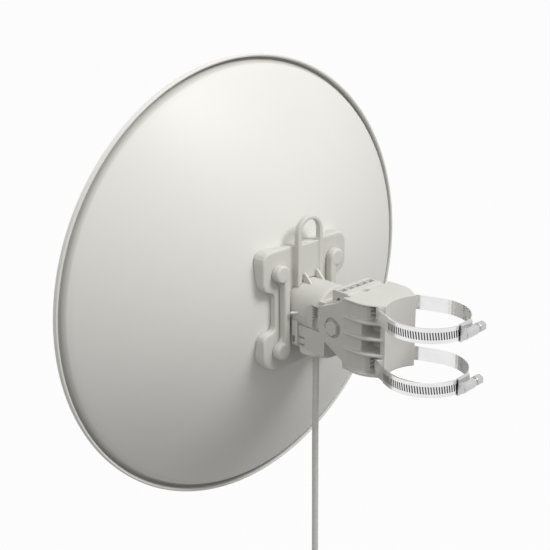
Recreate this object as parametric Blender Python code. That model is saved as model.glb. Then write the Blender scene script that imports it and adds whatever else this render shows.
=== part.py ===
# Pole-mounted parabolic dish radio antenna, seen from behind in its photograph.
# Metres, +Z up. The origin is on the pole's axis, at the height of the dish's own axis.
# The dish looks along -Y; the pole stands along Z; the bracket's ears tilt the head about X.
import bpy
import bmesh
import math
from mathutils import Matrix, Vector

# ------------------------------------------------------------------ driving dimensions
POLE_R = 0.0340            # radius of the round tube that the saddle and the clamps fit
SEAT_GAP = 0.0003          # gap between pieces that seat on each other

TILT_REACH = 0.0795        # pole axis to the tilt axis
VERTEX_REACH = 0.0641      # tilt axis to the dish's rear vertex
DISH_R = 0.2100            # outer radius of the rim
DISH_F = 0.1375            # focal length of the paraboloid
DISH_T = 0.0012            # wall of the dish
DISH_SIDES = 72            # facets round the dish
DISH_RINGS = 8             # steps along the dish's curve
RIM_BAND = 0.0070          # width of the flat band and the lip together
LIP_W = 0.0026             # width of the rolled lip
LIP_H = 0.0013             # height of the lip over the band
RIM_T = 0.0038             # depth of the rim from the band to its front edge
FEED_HOLE_R = 0.0165       # hole for the feed at the vertex

PLATE_RISE = 0.0040        # rear vertex to the back plate's face
PLATE_HALF_W = 0.0512      # half width over the lobes
PLATE_WAIST = 0.0375       # half width at the waist
PLATE_TOP = 0.0560         # height of the upper edge over the dish's axis
PLATE_BOTTOM = 0.0556      # depth of the lower edge under it
LOBE_TOP_IN = 0.0210       # where the upper lobes end, over the axis
LOBE_LOW_IN = 0.0200       # where the lower lobes end, under it
PLATE_EDGE = 0.0016        # rounding of the plate's outline
PLATE_FLARE = 0.0005       # outward draft of its sides
PLATE_DRAFT = 0.0037       # how far the upper edge falls towards the dish at its middle
PLATE_HOLE_R = 0.0120      # wiring hole behind the housing

LOOP_HALF_W = 0.0154       # half width of the upright loop
LOOP_T = 0.0052            # thickness of its free part over the plate
LOOP_RISE = 0.0066         # its face over the plate's face
LOOP_TOP = 0.0813          # top of its arch over the dish's axis
LOOP_EDGE_W = 0.0044       # width of the loop's border
LOOP_SILL = 0.0563         # sill of the arched window
LOOP_RECESS = 0.0013       # depth of the panel under the window

RAIL_GAP = 0.0014          # barrel's side to the rail's bar
RAIL_R = 0.0081            # radius of the boss ends
RAIL_RISE = 0.0076         # height of the bosses over the plate
RAIL_UP = 0.0352           # upper boss centre over the axis
RAIL_DOWN = 0.0370         # lower boss centre under it
RAIL_TOE = 0.0060          # length of the webs between bar and boss
RAIL_EDGE = 0.0022         # rounding of the bosses' edges
RAIL_W = 0.0069            # width of the bar between the bosses
RAIL_DROP = 0.0004         # how far the bar's face lies under the bosses' faces

BARREL_R = 0.0240          # radius of the rear housing
BARREL_LEN = 0.0374        # plate face to the barrel's rear end
BARREL_EDGE = 0.0016       # rounding of its rear edge
BARREL_FLOOR = 0.0116      # underside of the barrel, where the cable door begins
CAVITY_HALF = 0.0160       # half width of the hollow inside
CAVITY_TOP = 0.0130        # its ceiling over the axis
CAVITY_WALL = 0.0020       # wall left behind it
CUT_DEPTH = 0.0298         # side cutouts: reach in front of the tilt axis
CUT_TOP = 0.0092           # their upper edge over the axis at the rear end
CUT_LEAD = 0.0066          # length of the shallow relief ahead of them
TOOTH_COUNT = 5            # detent ridges in each cutout
TOOTH_PITCH = 0.0021
TOOTH_H = 0.0015
GUSSET_X = 0.0077          # gussets behind the loop, from the middle
GUSSET_T = 0.0019
GUSSET_TOP = 0.0310        # gusset peak over the axis
GUSSET_LEN = 0.0092
PIN_R = 0.0013             # small side pin
PIN_LEN = 0.0082
PIN_REACH = 0.0150         # plate's face to where it leaves the barrel

FRAME_HALF_W = 0.0245      # frame round the cable door
FRAME_START = 0.0071       # its near face from the plate's face
FRAME_T = 0.0070
FRAME_LOW = 0.0327         # its lower edge under the axis
DOOR_HALF_W = 0.0225       # cable door
DOOR_REACH = 0.0451        # plate face to the door's rear face
DOOR_LOW = 0.0360          # door's lower face under the axis
DOOR_FOOT_H = 0.0033       # height of the flared foot round it
DOOR_WALL = 0.0024
GLAND_HALF_W = 0.0070      # rubber gland in the notch of frame and door
GLAND_LEN = 0.0114
GLAND_TOP = 0.0225
NIPPLE_R = 0.0050
NIPPLE_LEN = 0.0080

EAR_GAP = 0.0005           # running gap between the knuckle and each ear
EAR_T = 0.0077             # thickness of an ear
KNUCKLE_HALF = 0.0202      # half width of the tilt knuckle
KNUCKLE_R = 0.0155         # radius of its round end
BOLT_R = 0.0040            # tilt bolt
BOLT_CLEAR = 0.0003        # clearance round the bolt
HEAD_AF = 0.0118           # across the flats of its head and nut
HEAD_H = 0.0046
RECESS_R = 0.0088          # round recess in the ear
RECESS_D = 0.0025
WASHER_T = 0.0012
WASHER_R = 0.0078

BRACKET_UP = 0.0315        # bracket's top over the tilt axis
BRACKET_DOWN = 0.0330      # its underside below
RIB_T = 0.0024             # thickness of the side ribs
RIB_UP = 0.0144            # heights of the three middle ribs
RIB_MID = 0.0003
RIB_LOW = 0.0138
BRIDGE_FRONT = 0.0070      # bridge's front face ahead of the tilt axis
BRIDGE_UNDER = 0.0194      # its underside over the tilt axis
CORE_FRONT = 0.0170        # front wall of the bracket's core behind the tilt axis
SIDE_DEEP = 0.0090         # half width left between the side recesses
RECESS_FRONT = 0.0497      # side recesses: from the pole's axis
SADDLE_BACK = 0.0364       # face that the bands pass behind, from the pole's axis
SADDLE_FACE = 0.0340       # front of the saddle between the bands
SADDLE_HALF = 0.0193       # half width of the saddle
SHOULDER_HALF = 0.0226     # half width of the shoulders that carry the bands
POCKET_PITCH = 0.0082      # row of pockets along the bridge
POCKET_W = 0.0050
POCKET_L = 0.0040
POCKET_D = 0.0042
POCKET_ROW = 0.0007        # row ahead of (+) or behind the tilt axis
STRIP_END = 0.0105         # end of the raised strip behind the tilt axis
STRIP_H = 0.0006
TOP_T = 0.0016             # top plate behind the strip

CLAMP_UP = 0.0226          # height of the upper clamp
CLAMP_LOW = 0.0238         # depth of the lower clamp
BAND_W = 0.0127            # clamp band
BAND_T = 0.0007
BAND_LAP = 0.00025         # gap between the band's two layers
BAND_BEND = 0.0030         # bend of the band's centreline round the shoulders
SLOT_PITCH = 0.00215       # worm slots
SLOT_W = 0.00105
SLOT_H = 0.0064
SLOT_SLANT = 0.0009
TAIL_UP = -23.6            # angle where the upper band's tail ends, in degrees
TAIL_LOW = -33.0
BUCKLE_ANGLE = 94.0        # angle of the worm housings round the pole
BUCKLE_LEN = 0.0146
BUCKLE_W = 0.0148
BUCKLE_FLOOR = 0.0010
WORM_R = 0.0032
WORM_WALL = 0.0010
SCREW_HEAD_AF = 0.0078
SCREW_HEAD_H = 0.0075
SCREW_NECK = 0.0045        # housing's end to the screw's head

FEED_R = 0.0175            # feed tube at its base
FEED_TIP_R = 0.0155
FEED_LEN = 0.1080          # vertex to the tube's end
FLANGE_R = 0.0260
FLANGE_T = 0.0034
CONE_LEN = 0.0175          # plastic cone between tube and sub-reflector
SUB_R = 0.0360             # sub-reflector
SUB_T = 0.0030
SCREW_X = 0.0400           # plate screws
SCREW_Z = 0.0435
SCREW_R = 0.0018
SCREW_CLEAR = 0.0004
SCREW_CAP_R = 0.0040
SCREW_CAP_H = 0.0026

BOARD_T = 0.0016           # radio board and its socket
BOARD_MARGIN = 0.0012      # board's edge to the hollow's wall
SOCKET_HALF_W = 0.0082
SOCKET_DEEP = 0.0168
SOCKET_ROOM = 0.0015       # socket's top to the hollow's ceiling
SOCKET_ROOF = 0.0030       # wall over the plug
SOCKET_H = 0.0210
PLUG_HALF_W = 0.0058       # network plug
PLUG_DEEP = 0.0080
PLUG_LEN = 0.0215

CABLE_R = 0.0030           # cable
CABLE_BACK = 0.0133        # its centre from the plate's face
COIL_R = 0.0340            # coil: radius of its centreline
COIL_TURNS = 3
COIL_PITCH = 0.0067
COIL_DROP = 0.3300         # coil's centre under the dish's axis
TAIL_LEN = 0.0450
BOOT_LEN = 0.0110
TIE_W = 0.0036
TIE_T = 0.0011

# ------------------------------------------------------------------ derived positions
TILT_Y = -TILT_REACH
VERTEX_Y = TILT_Y - VERTEX_REACH
PLATE_Y = VERTEX_Y + PLATE_RISE
LOOP_Y = PLATE_Y + LOOP_RISE
RAIL_Y = PLATE_Y + RAIL_RISE
BARREL_END = PLATE_Y + BARREL_LEN
EAR_IN = KNUCKLE_HALF + EAR_GAP
EAR_OUT = EAR_IN + EAR_T
CABLE_Y = PLATE_Y + CABLE_BACK
RAIL_X = BARREL_R + RAIL_GAP + RAIL_R
CAVITY_END = BARREL_LEN - CAVITY_WALL
SOCKET_UP = CAVITY_TOP - SOCKET_ROOM
SOCKET_DOWN = SOCKET_H - SOCKET_UP


def clear_scene():
    for old in list(bpy.data.objects):
        bpy.data.objects.remove(old, do_unlink=True)


def material(name, colour, roughness, metallic):
    made = bpy.data.materials.new(name)
    made.use_nodes = True
    shader = made.node_tree.nodes["Principled BSDF"]
    shader.inputs["Base Color"].default_value = (*colour, 1.0)
    shader.inputs["Roughness"].default_value = roughness
    shader.inputs["Metallic"].default_value = metallic
    return made


def to_object(name, bm):
    bmesh.ops.remove_doubles(bm, verts=bm.verts[:], dist=1e-7)
    bmesh.ops.recalc_face_normals(bm, faces=bm.faces[:])
    mesh = bpy.data.meshes.new(name)
    bm.to_mesh(mesh)
    bm.free()
    made = bpy.data.objects.new(name, mesh)
    bpy.context.scene.collection.objects.link(made)
    return made


def loft(sections, name="form", closed=False):
    """Skins a row of equal rings of points; caps both ends unless it closes on itself."""
    bm = bmesh.new()
    rings = [[bm.verts.new(p) for p in ring] for ring in sections]
    pairs = list(zip(rings, rings[1:]))
    if closed:
        pairs.append((rings[-1], rings[0]))
    for one, two in pairs:
        count = len(one)
        for i in range(count):
            j = (i + 1) % count
            bm.faces.new((one[i], one[j], two[j], two[i]))
    if not closed:
        bm.faces.new(list(reversed(rings[0])))
        bm.faces.new(rings[-1])
    return to_object(name, bm)


def place(axis, u, v, w):
    """Point with w along the axis and (u, v) in the plane across it."""
    if axis == "X":
        return (w, u, v)
    if axis == "Y":
        return (u, w, v)
    return (u, v, w)


def prism(outline, axis, low, high, name="form"):
    ends = (low, high)
    return loft([[place(axis, u, v, w) for u, v in outline] for w in ends], name)


def block(x0, x1, y0, y1, z0, z1, name="form"):
    return prism([(x0, y0), (x1, y0), (x1, y1), (x0, y1)], "Z", z0, z1, name)


def circle(radius, count, cu=0.0, cv=0.0, turn=0.0):
    steps = [turn + 2 * math.pi * i / count for i in range(count)]
    return [(cu + radius * math.cos(a), cv + radius * math.sin(a)) for a in steps]


def rod(radius, axis, low, high, cu=0.0, cv=0.0, count=32, turn=0.0, name="form"):
    return prism(circle(radius, count, cu, cv, turn), axis, low, high, name)


def rounded(corners, steps=5):
    """Outline through corners (u, v, radius), each rounded as far as its two sides allow."""
    points = []
    count = len(corners)
    spots = [Vector(corner[:2]) for corner in corners]
    for i, (u, v, radius) in enumerate(corners):
        here = spots[i]
        before = spots[i - 1]
        after = spots[(i + 1) % count]
        if radius <= 0:
            points.append((u, v))
            continue
        a = (before - here).normalized()
        b = (after - here).normalized()
        half = a.angle(b) / 2
        side = min((before - here).length, (after - here).length)
        radius = min(radius, 0.49 * side * math.tan(half))
        reach = radius / math.tan(half)
        centre = here + (a + b).normalized() * (radius / math.sin(half))
        start = here + a * reach - centre
        end = here + b * reach - centre
        sweep = start.angle(end)
        sign = 1.0 if start.x * end.y - start.y * end.x > 0 else -1.0
        for k in range(steps + 1):
            t = sign * sweep * k / steps
            c, s = math.cos(t), math.sin(t)
            points.append((centre.x + c * start.x - s * start.y,
                           centre.y + s * start.x + c * start.y))
    return points


def inset(points, amount):
    """Moves a closed outline inwards by the given amount, point by point."""
    area = sum(a[0] * b[1] - b[0] * a[1] for a, b in zip(points, points[1:] + points[:1]))
    sign = 1.0 if area > 0 else -1.0
    moved = []
    count = len(points)
    for i, point in enumerate(points):
        here = Vector(point)
        a = (here - Vector(points[i - 1])).normalized()
        b = (Vector(points[(i + 1) % count]) - here).normalized()
        normal = Vector((-a.y, a.x)) + Vector((-b.y, b.x))
        normal = normal.normalized() * sign
        keep = max(0.5, normal.dot(Vector((-a.y, a.x)) * sign))
        moved.append(tuple(here + normal * (amount / keep)))
    return moved


def soft_slab(outline, axis, low, high, edge, steps=2):
    """Prism whose far edge is rounded over in the given number of steps."""
    sections = [[place(axis, u, v, low) for u, v in outline]]
    sign = 1.0 if high > low else -1.0
    for k in range(steps + 1):
        a = math.pi / 2 * k / steps
        ring = inset(outline, edge * (1 - math.cos(a))) if k else outline
        w = high - sign * edge * (1 - math.sin(a))
        sections.append([place(axis, u, v, w) for u, v in ring])
    return loft(sections)


def turned(profile, count, centre_z=0.0, hollow=False, name="form"):
    """Turns (radius, y) points about a line along Y."""
    bm = bmesh.new()
    rings = []
    for radius, y in profile:
        if radius < 1e-9:
            rings.append([bm.verts.new((0.0, y, centre_z))])
            continue
        ring = []
        for i in range(count):
            a = 2 * math.pi * i / count
            ring.append(bm.verts.new((radius * math.sin(a), y, centre_z + radius * math.cos(a))))
        rings.append(ring)
    pairs = list(zip(rings, rings[1:]))
    if hollow:
        pairs.append((rings[-1], rings[0]))
    for one, two in pairs:
        for i in range(count):
            j = (i + 1) % count
            if len(one) == 1:
                bm.faces.new((one[0], two[j], two[i]))
            elif len(two) == 1:
                bm.faces.new((one[i], one[j], two[0]))
            else:
                bm.faces.new((one[i], one[j], two[j], two[i]))
    return to_object(name, bm)


def combine(target, tools, operation):
    """Boolean with each tool in turn, then the tools go."""
    for tool in tools:
        change = target.modifiers.new(operation.lower(), "BOOLEAN")
        change.operation = operation
        change.solver = "EXACT"
        change.object = tool
        graph = bpy.context.evaluated_depsgraph_get()
        mesh = bpy.data.meshes.new_from_object(target.evaluated_get(graph))
        target.modifiers.clear()
        old = target.data
        target.data = mesh
        bpy.data.meshes.remove(old)
        bpy.data.objects.remove(tool, do_unlink=True)
    return target


def cut(target, *tools):
    return combine(target, tools, "DIFFERENCE")


def fuse(target, *tools):
    return combine(target, tools, "UNION")


def finish(made, name, look, origin=(0.0, 0.0, 0.0), angle=32.0):
    """Names the piece, gives it its material and its origin, and shades it."""
    made.name = name
    made.data.name = name
    made.data.materials.clear()
    made.data.materials.append(look)
    for face in made.data.polygons:
        face.material_index = 0
    shift = Vector(origin)
    made.data.transform(Matrix.Translation(-shift))
    made.location = shift
    made.data.shade_smooth()
    made.data.set_sharp_from_angle(angle=math.radians(angle))
    return made


def mirrored(outline):
    """Closes a right-hand outline with its mirror image about u = 0."""
    left = [(-u, v) for u, v in reversed(outline) if u > 1e-9]
    return outline + left


# ------------------------------------------------------------------ reflector
def dish_back(radius):
    return VERTEX_Y - radius * radius / (4 * DISH_F)


def dish_front(radius):
    slope = radius / (2 * DISH_F)
    return dish_back(radius) - DISH_T * math.sqrt(1 + slope * slope)


def make_reflector(look):
    bowl = DISH_R - RIM_BAND
    radii = [FEED_HOLE_R + (bowl - FEED_HOLE_R) * i / DISH_RINGS for i in range(DISH_RINGS + 1)]
    profile = [(r, dish_back(r)) for r in radii]
    band = dish_back(bowl) - 0.0026
    crest = band + LIP_H
    front = band - RIM_T
    lip = DISH_R - LIP_W
    profile += [(bowl + 0.0013, band + 0.0006), (bowl + 0.0026, band), (lip - 0.0006, band)]
    profile += [(lip, band + 0.4 * LIP_H), (lip + 0.3 * LIP_W, crest)]
    profile += [(lip + 0.7 * LIP_W, crest), (DISH_R, band + 0.1 * LIP_H)]
    profile += [(DISH_R, front + 0.0012), (DISH_R - 0.0009, front), (lip + 0.0002, front)]
    profile += [(lip - 0.0016, front + 0.0008)]
    profile += [(r, dish_front(r)) for r in reversed(radii)]
    made = turned(profile, DISH_SIDES, hollow=True)
    bores = []
    for x in (-SCREW_X, SCREW_X):
        for z in (-SCREW_Z, SCREW_Z):
            bores.append(rod(SCREW_R + SCREW_CLEAR, "Y", VERTEX_Y - 0.03, VERTEX_Y, x, z, 12))
    cut(made, *bores)
    return finish(made, "reflector", look, (0.0, TILT_Y, 0.0), 40)


# ------------------------------------------------------------------ back plate and rails
def plate_outline():
    right = [
        (PLATE_HALF_W, PLATE_TOP, 0.0105),
        (PLATE_HALF_W, LOBE_TOP_IN, 0.0125),
        (PLATE_WAIST, LOBE_TOP_IN - 0.0050, 0.0060),
        (PLATE_WAIST, -LOBE_LOW_IN + 0.0015, 0.0048),
        (PLATE_HALF_W + 0.0004, -LOBE_LOW_IN, 0.0100),
        (PLATE_HALF_W + 0.0004, -PLATE_BOTTOM, 0.0150),
    ]
    right = [(0.34 * PLATE_HALF_W, PLATE_TOP, 0.0), (0.60 * PLATE_HALF_W, PLATE_TOP, 0.0)] + right
    left = [(-u, v, r) for u, v, r in reversed(right)]
    return rounded([(0.0, PLATE_TOP, 0.0)] + right + left, 4)


def plate_back():
    """The plate's outline where it meets the dish: flared sides and a fallen upper edge."""
    points = []
    for u, v in inset(plate_outline(), -PLATE_FLARE):
        near = max(0.0, 1 - (u / PLATE_HALF_W) ** 2)
        high = max(0.0, (v - LOBE_TOP_IN) / (PLATE_TOP - LOBE_TOP_IN))
        points.append((u, v - PLATE_DRAFT * near * high))
    return points


def arch(half, top, bottom, count=16):
    middle = top - half
    points = [(half, bottom)]
    for i in range(count + 1):
        a = math.pi * i / count
        points.append((half * math.cos(a), middle + half * math.sin(a)))
    points.append((-half, bottom))
    return points


def dish_solid(gap, reach):
    """Solid that fills the bowl up to its rear face plus a gap, for conformal cuts."""
    radii = [reach * i / 5 for i in range(6)]
    profile = [(r, dish_back(r) + gap) for r in radii]
    profile += [(reach, VERTEX_Y - 0.06), (0.0, VERTEX_Y - 0.06)]
    return turned(profile, 40)


def make_plate(look):
    outline = plate_outline()
    wide = plate_back()
    back = VERTEX_Y - 0.0200
    rings = [
        (inset(outline, PLATE_EDGE), PLATE_Y),
        (inset(outline, 0.3 * PLATE_EDGE), PLATE_Y - 0.3 * PLATE_EDGE),
        (outline, PLATE_Y - PLATE_EDGE),
        (wide, back),
    ]
    made = loft([[(u, y, v) for u, v in ring] for ring, y in rings])
    loop = soft_slab(arch(LOOP_HALF_W, LOOP_TOP, 0.0), "Y", PLATE_Y - 0.0002, LOOP_Y, 0.0007)
    wide = LOOP_HALF_W + 0.01
    cut(loop, block(-wide, wide, PLATE_Y - 0.01, LOOP_Y - LOOP_T, PLATE_TOP - 0.0006, LOOP_TOP + 0.01))
    cut(made, dish_solid(SEAT_GAP, 0.085))
    fuse(made, loop)
    inner = LOOP_HALF_W - LOOP_EDGE_W
    window = arch(inner, LOOP_TOP - 0.8 * LOOP_EDGE_W, LOOP_SILL)
    panel = [(inner, 0.004), (inner, LOOP_SILL + 0.002), (-inner, LOOP_SILL + 0.002), (-inner, 0.004)]
    cut(made, prism(window, "Y", PLATE_Y - 0.0240, LOOP_Y + 0.01),
        prism(panel, "Y", LOOP_Y - LOOP_RECESS, LOOP_Y + 0.01),
        rod(BARREL_R + SEAT_GAP, "Y", PLATE_Y, LOOP_Y + 0.01, count=64),
        rod(PLATE_HOLE_R, "Y", VERTEX_Y - 0.01, PLATE_Y + 0.01, count=24, turn=math.pi / 24))
    bores = []
    for x in (-SCREW_X, SCREW_X):
        for z in (-SCREW_Z, SCREW_Z):
            bores.append(rod(SCREW_R + SCREW_CLEAR, "Y", VERTEX_Y - 0.03, PLATE_Y - 0.0022, x, z, 12))
    cut(made, *bores)
    return finish(made, "back_plate", look, (0.0, TILT_Y, 0.0), 30)


def make_rail(side, look, name):
    seat = PLATE_Y + SEAT_GAP
    inner = RAIL_X - RAIL_R
    outline = rounded([
        (inner, -RAIL_DOWN, 0.0), (inner + RAIL_W, -RAIL_DOWN, 0.0),
        (inner + RAIL_W, RAIL_UP, 0.0), (inner, RAIL_UP, 0.0)])
    bar = soft_slab([(side * u, v) for u, v in outline], "Y", seat, RAIL_Y - RAIL_DROP, 0.7 * RAIL_EDGE, 3)
    for z in (RAIL_UP, -RAIL_DOWN):
        boss = circle(RAIL_R, 24, side * RAIL_X, z)
        fuse(bar, soft_slab(boss, "Y", seat, RAIL_Y, RAIL_EDGE, 3))
    foot = inner + RAIL_W - 0.0002
    for z in (RAIL_UP - RAIL_R + 0.0011, -RAIL_DOWN + RAIL_R - 0.0011):
        toe = -RAIL_TOE if z > 0 else RAIL_TOE
        shape = [(side * foot, z), (side * (foot + 0.0036), z), (side * foot, z + toe)]
        fuse(bar, prism(shape, "Y", seat, PLATE_Y + 0.5 * RAIL_RISE))
    return finish(bar, name, look, (0.0, TILT_Y, 0.0), 30)


# ------------------------------------------------------------------ rear housing and door
def make_housing(look):
    seat = PLATE_Y + SEAT_GAP
    profile = [(0.0, seat), (BARREL_R, seat), (BARREL_R, BARREL_END - BARREL_EDGE)]
    profile += [(BARREL_R - 0.3 * BARREL_EDGE, BARREL_END - 0.3 * BARREL_EDGE)]
    profile += [(BARREL_R - BARREL_EDGE, BARREL_END), (0.0, BARREL_END)]
    made = turned(profile, 64)
    cut_y = TILT_Y - CUT_DEPTH
    wide = BARREL_R + 0.005
    cut(made, block(-wide, wide, seat - 0.01, BARREL_END + 0.01, -wide, -BARREL_FLOOR))
    mouth = [(cut_y, -wide), (cut_y, CUT_TOP + 0.0010), (BARREL_END + 0.01, CUT_TOP - 0.0016)]
    mouth += [(BARREL_END + 0.01, -wide)]
    cut(made, prism(mouth, "X", KNUCKLE_HALF, wide), prism(mouth, "X", -wide, -KNUCKLE_HALF))
    for side in (-1.0, 1.0):
        # shallow relief that runs out on the barrel's side, ahead of the cutout
        lead = [(side * wide, cut_y - CUT_LEAD), (side * (BARREL_R - 0.0012), cut_y - CUT_LEAD),
                (side * (KNUCKLE_HALF + 0.0006), cut_y + 0.0004), (side * wide, cut_y + 0.0004)]
        cut(made, prism(lead, "Z", -wide, CUT_TOP + 0.0018))
    neck_low = -(BARREL_FLOOR - 0.0004)
    neck = [(BARREL_END - 0.0010, neck_low), (TILT_Y, neck_low), (TILT_Y, KNUCKLE_R)]
    neck += [(BARREL_END - 0.0010, KNUCKLE_R)]
    fuse(made, prism(neck, "X", -KNUCKLE_HALF, KNUCKLE_HALF),
         rod(KNUCKLE_R, "X", -KNUCKLE_HALF, KNUCKLE_HALF, TILT_Y, 0.0, 40))
    near = PLATE_Y + FRAME_START
    frame = rounded([(-FRAME_HALF_W, -FRAME_LOW, 0.003), (FRAME_HALF_W, -FRAME_LOW, 0.003),
                     (FRAME_HALF_W, -0.0080, 0.0), (-FRAME_HALF_W, -0.0080, 0.0)])
    fuse(made, prism(frame, "Y", near, near + FRAME_T))
    hollow = CAVITY_HALF
    cut(made, block(-hollow, hollow, seat - 0.005, PLATE_Y + CAVITY_END,
                    -BARREL_FLOOR - 0.0030, CAVITY_TOP))
    notch = GLAND_HALF_W + SEAT_GAP
    cut(made, block(-notch, notch, near - 0.005, near + FRAME_T + 0.005, -0.05, -0.005))
    hole_y = near + 0.0006
    for low, high in ((FRAME_HALF_W - 0.0045, FRAME_HALF_W + 0.01),
                      (-FRAME_HALF_W - 0.01, -FRAME_HALF_W + 0.0045)):
        cut(made, block(low, high, hole_y, hole_y + 0.0032, -0.0292, -0.0228))
    for side in (-1.0, 1.0):
        for i in range(TOOTH_COUNT):
            z = CUT_TOP - 0.0030 - TOOTH_PITCH * i
            half = 0.45 * TOOTH_PITCH
            tooth = [(cut_y - 0.0006, z - half), (cut_y + TOOTH_H, z), (cut_y - 0.0006, z + half)]
            ends = sorted((side * (KNUCKLE_HALF - 0.0010), side * (BARREL_R - 0.0026)))
            fuse(made, prism(tooth, "X", ends[0], ends[1]))
        foot = LOOP_Y + SEAT_GAP
        rib = [(foot, GUSSET_TOP), (foot, BARREL_R - 0.0060), (foot + GUSSET_LEN, BARREL_R - 0.0060),
               (foot + GUSSET_LEN, BARREL_R - 0.0018)]
        middle = side * GUSSET_X
        fuse(made, prism(rib, "X", middle - GUSSET_T / 2, middle + GUSSET_T / 2))
        start = Vector((side * (BARREL_R - 0.0015), PLATE_Y + PIN_REACH, -0.0003))
        along = Vector((side * 1.0, -0.80, 0.0)).normalized()
        across = Vector((along.y, -along.x, 0.0))
        rings = []
        for far, radius in ((0.0, PIN_R), (PIN_LEN - 0.0004, PIN_R), (PIN_LEN, 0.6 * PIN_R)):
            ring = []
            for k in range(12):
                a = 2 * math.pi * k / 12
                spoke = across * (radius * math.cos(a)) + Vector((0, 0, radius * math.sin(a)))
                ring.append(tuple(start + along * far + spoke))
            rings.append(ring)
        fuse(made, loft(rings))
    cut(made, rod(BOLT_R + BOLT_CLEAR, "X", -0.05, 0.05, TILT_Y, 0.0, 32))
    return finish(made, "rear_housing", look, (0.0, TILT_Y, 0.0), 30)


def make_door(look):
    near = PLATE_Y + FRAME_START + FRAME_T + SEAT_GAP
    far = PLATE_Y + DOOR_REACH
    top = -(BARREL_FLOOR + SEAT_GAP)
    low = -DOOR_LOW
    rise = DOOR_FOOT_H
    # foot's outline: share of the door's length, then width over or under the door's own
    spread = ((0.0, -0.0032), (0.03, 0.0002), (0.12, 0.0021), (0.26, 0.0031), (0.42, 0.0028),
              (0.57, 0.0008), (0.75, -0.0018), (0.90, -0.0034), (0.97, -0.0056), (1.0, -0.0090))
    side = [(DOOR_HALF_W, near + (far - near) * t) for t, out in spread]
    plan = side + [(-u, v) for u, v in reversed(side)]
    side = [(DOOR_HALF_W + out, near + (far - near) * t) for t, out in spread]
    foot = side + [(-u, v) for u, v in reversed(side)]
    half = [(u, v) for u, v in foot]
    middle = [((a[0] + 2 * b[0]) / 3, (a[1] + 2 * b[1]) / 3) for a, b in zip(plan, half)]
    rings = [(plan, top), (plan, low + rise), (middle, low + 0.35 * rise), (foot, low)]
    made = loft([[(u, v, z) for u, v in ring] for ring, z in rings])
    inner = DOOR_HALF_W - DOOR_WALL
    floor = low + DOOR_WALL
    cut(made, block(-inner, inner, near - 0.01, far - DOOR_WALL, floor + 0.6 * rise, top + 0.01))
    notch = GLAND_HALF_W + SEAT_GAP
    end = PLATE_Y + FRAME_START + SEAT_GAP + GLAND_LEN + SEAT_GAP
    cut(made, block(-notch, notch, near - 0.01, end, low - 0.01, top))
    for side in (-1.0, 1.0):
        for z in (-0.0235, -0.0300):
            ends = sorted((side * (DOOR_HALF_W - 0.0009), side * (DOOR_HALF_W + 0.01)))
            cut(made, block(ends[0], ends[1], near + 0.0006, near + 0.0048, z, z + 0.0012))
        ends = sorted((side * (DOOR_HALF_W - 0.0010), side * (DOOR_HALF_W + 0.0009)))
        fuse(made, block(ends[0], ends[1], near + 0.0004, near + 0.0040, top - 0.0040, top - 0.0006))
    return finish(made, "cable_door", look, (0.0, far, low), 30)


def make_gland(look):
    near = PLATE_Y + FRAME_START + SEAT_GAP
    low = -DOOR_LOW
    made = block(-GLAND_HALF_W, GLAND_HALF_W, near, near + GLAND_LEN, low, -GLAND_TOP)
    cone = [(NIPPLE_R, low + 0.001), (NIPPLE_R, low), (CABLE_R + 0.0012, low - NIPPLE_LEN)]
    rings = [[(r * math.cos(a), CABLE_Y + r * math.sin(a), z)
              for a in [2 * math.pi * k / 24 for k in range(24)]] for r, z in cone]
    fuse(made, loft(rings))
    cut(made, rod(CABLE_R + SEAT_GAP, "Z", low - 0.03, 0.0, 0.0, CABLE_Y, 24))
    return finish(made, "cable_gland", look, (0.0, CABLE_Y, low), 30)


# ------------------------------------------------------------------ electronics
def make_board(look):
    seat = PLATE_Y + SEAT_GAP
    half = CAVITY_HALF - BOARD_MARGIN
    made = block(-half, half, seat, seat + BOARD_T, -BARREL_FLOOR + BOARD_MARGIN,
                 CAVITY_TOP - BOARD_MARGIN)
    return finish(made, "radio_board", look, (0.0, TILT_Y, 0.0))


def make_socket(look):
    near = PLATE_Y + 2 * SEAT_GAP + BOARD_T
    made = block(-SOCKET_HALF_W, SOCKET_HALF_W, near, near + SOCKET_DEEP, -SOCKET_DOWN, SOCKET_UP)
    half = PLUG_HALF_W + SEAT_GAP
    deep = PLUG_DEEP / 2 + SEAT_GAP
    roof = SOCKET_UP - SOCKET_ROOF
    cut(made, block(-half, half, CABLE_Y - deep, CABLE_Y + deep, -SOCKET_DOWN - 0.01, roof))
    return finish(made, "network_socket", look, (0.0, TILT_Y, 0.0))


def make_plug(top, name, look, x=0.0):
    half = PLUG_HALF_W
    deep = PLUG_DEEP / 2
    outline = [(x - half, CABLE_Y - deep), (x + half, CABLE_Y - deep), (x + half, CABLE_Y + deep),
               (x - half, CABLE_Y + deep)]
    made = prism(outline, "Z", top - PLUG_LEN, top)
    if name == "end_plug":
        low = top - PLUG_LEN
        fuse(made, block(x - 0.003, x + 0.003, CABLE_Y + deep - 0.0002, CABLE_Y + deep + 0.0010,
                         low + 0.002, low + 0.013))
    return finish(made, name, look, (x, CABLE_Y, top))


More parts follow.
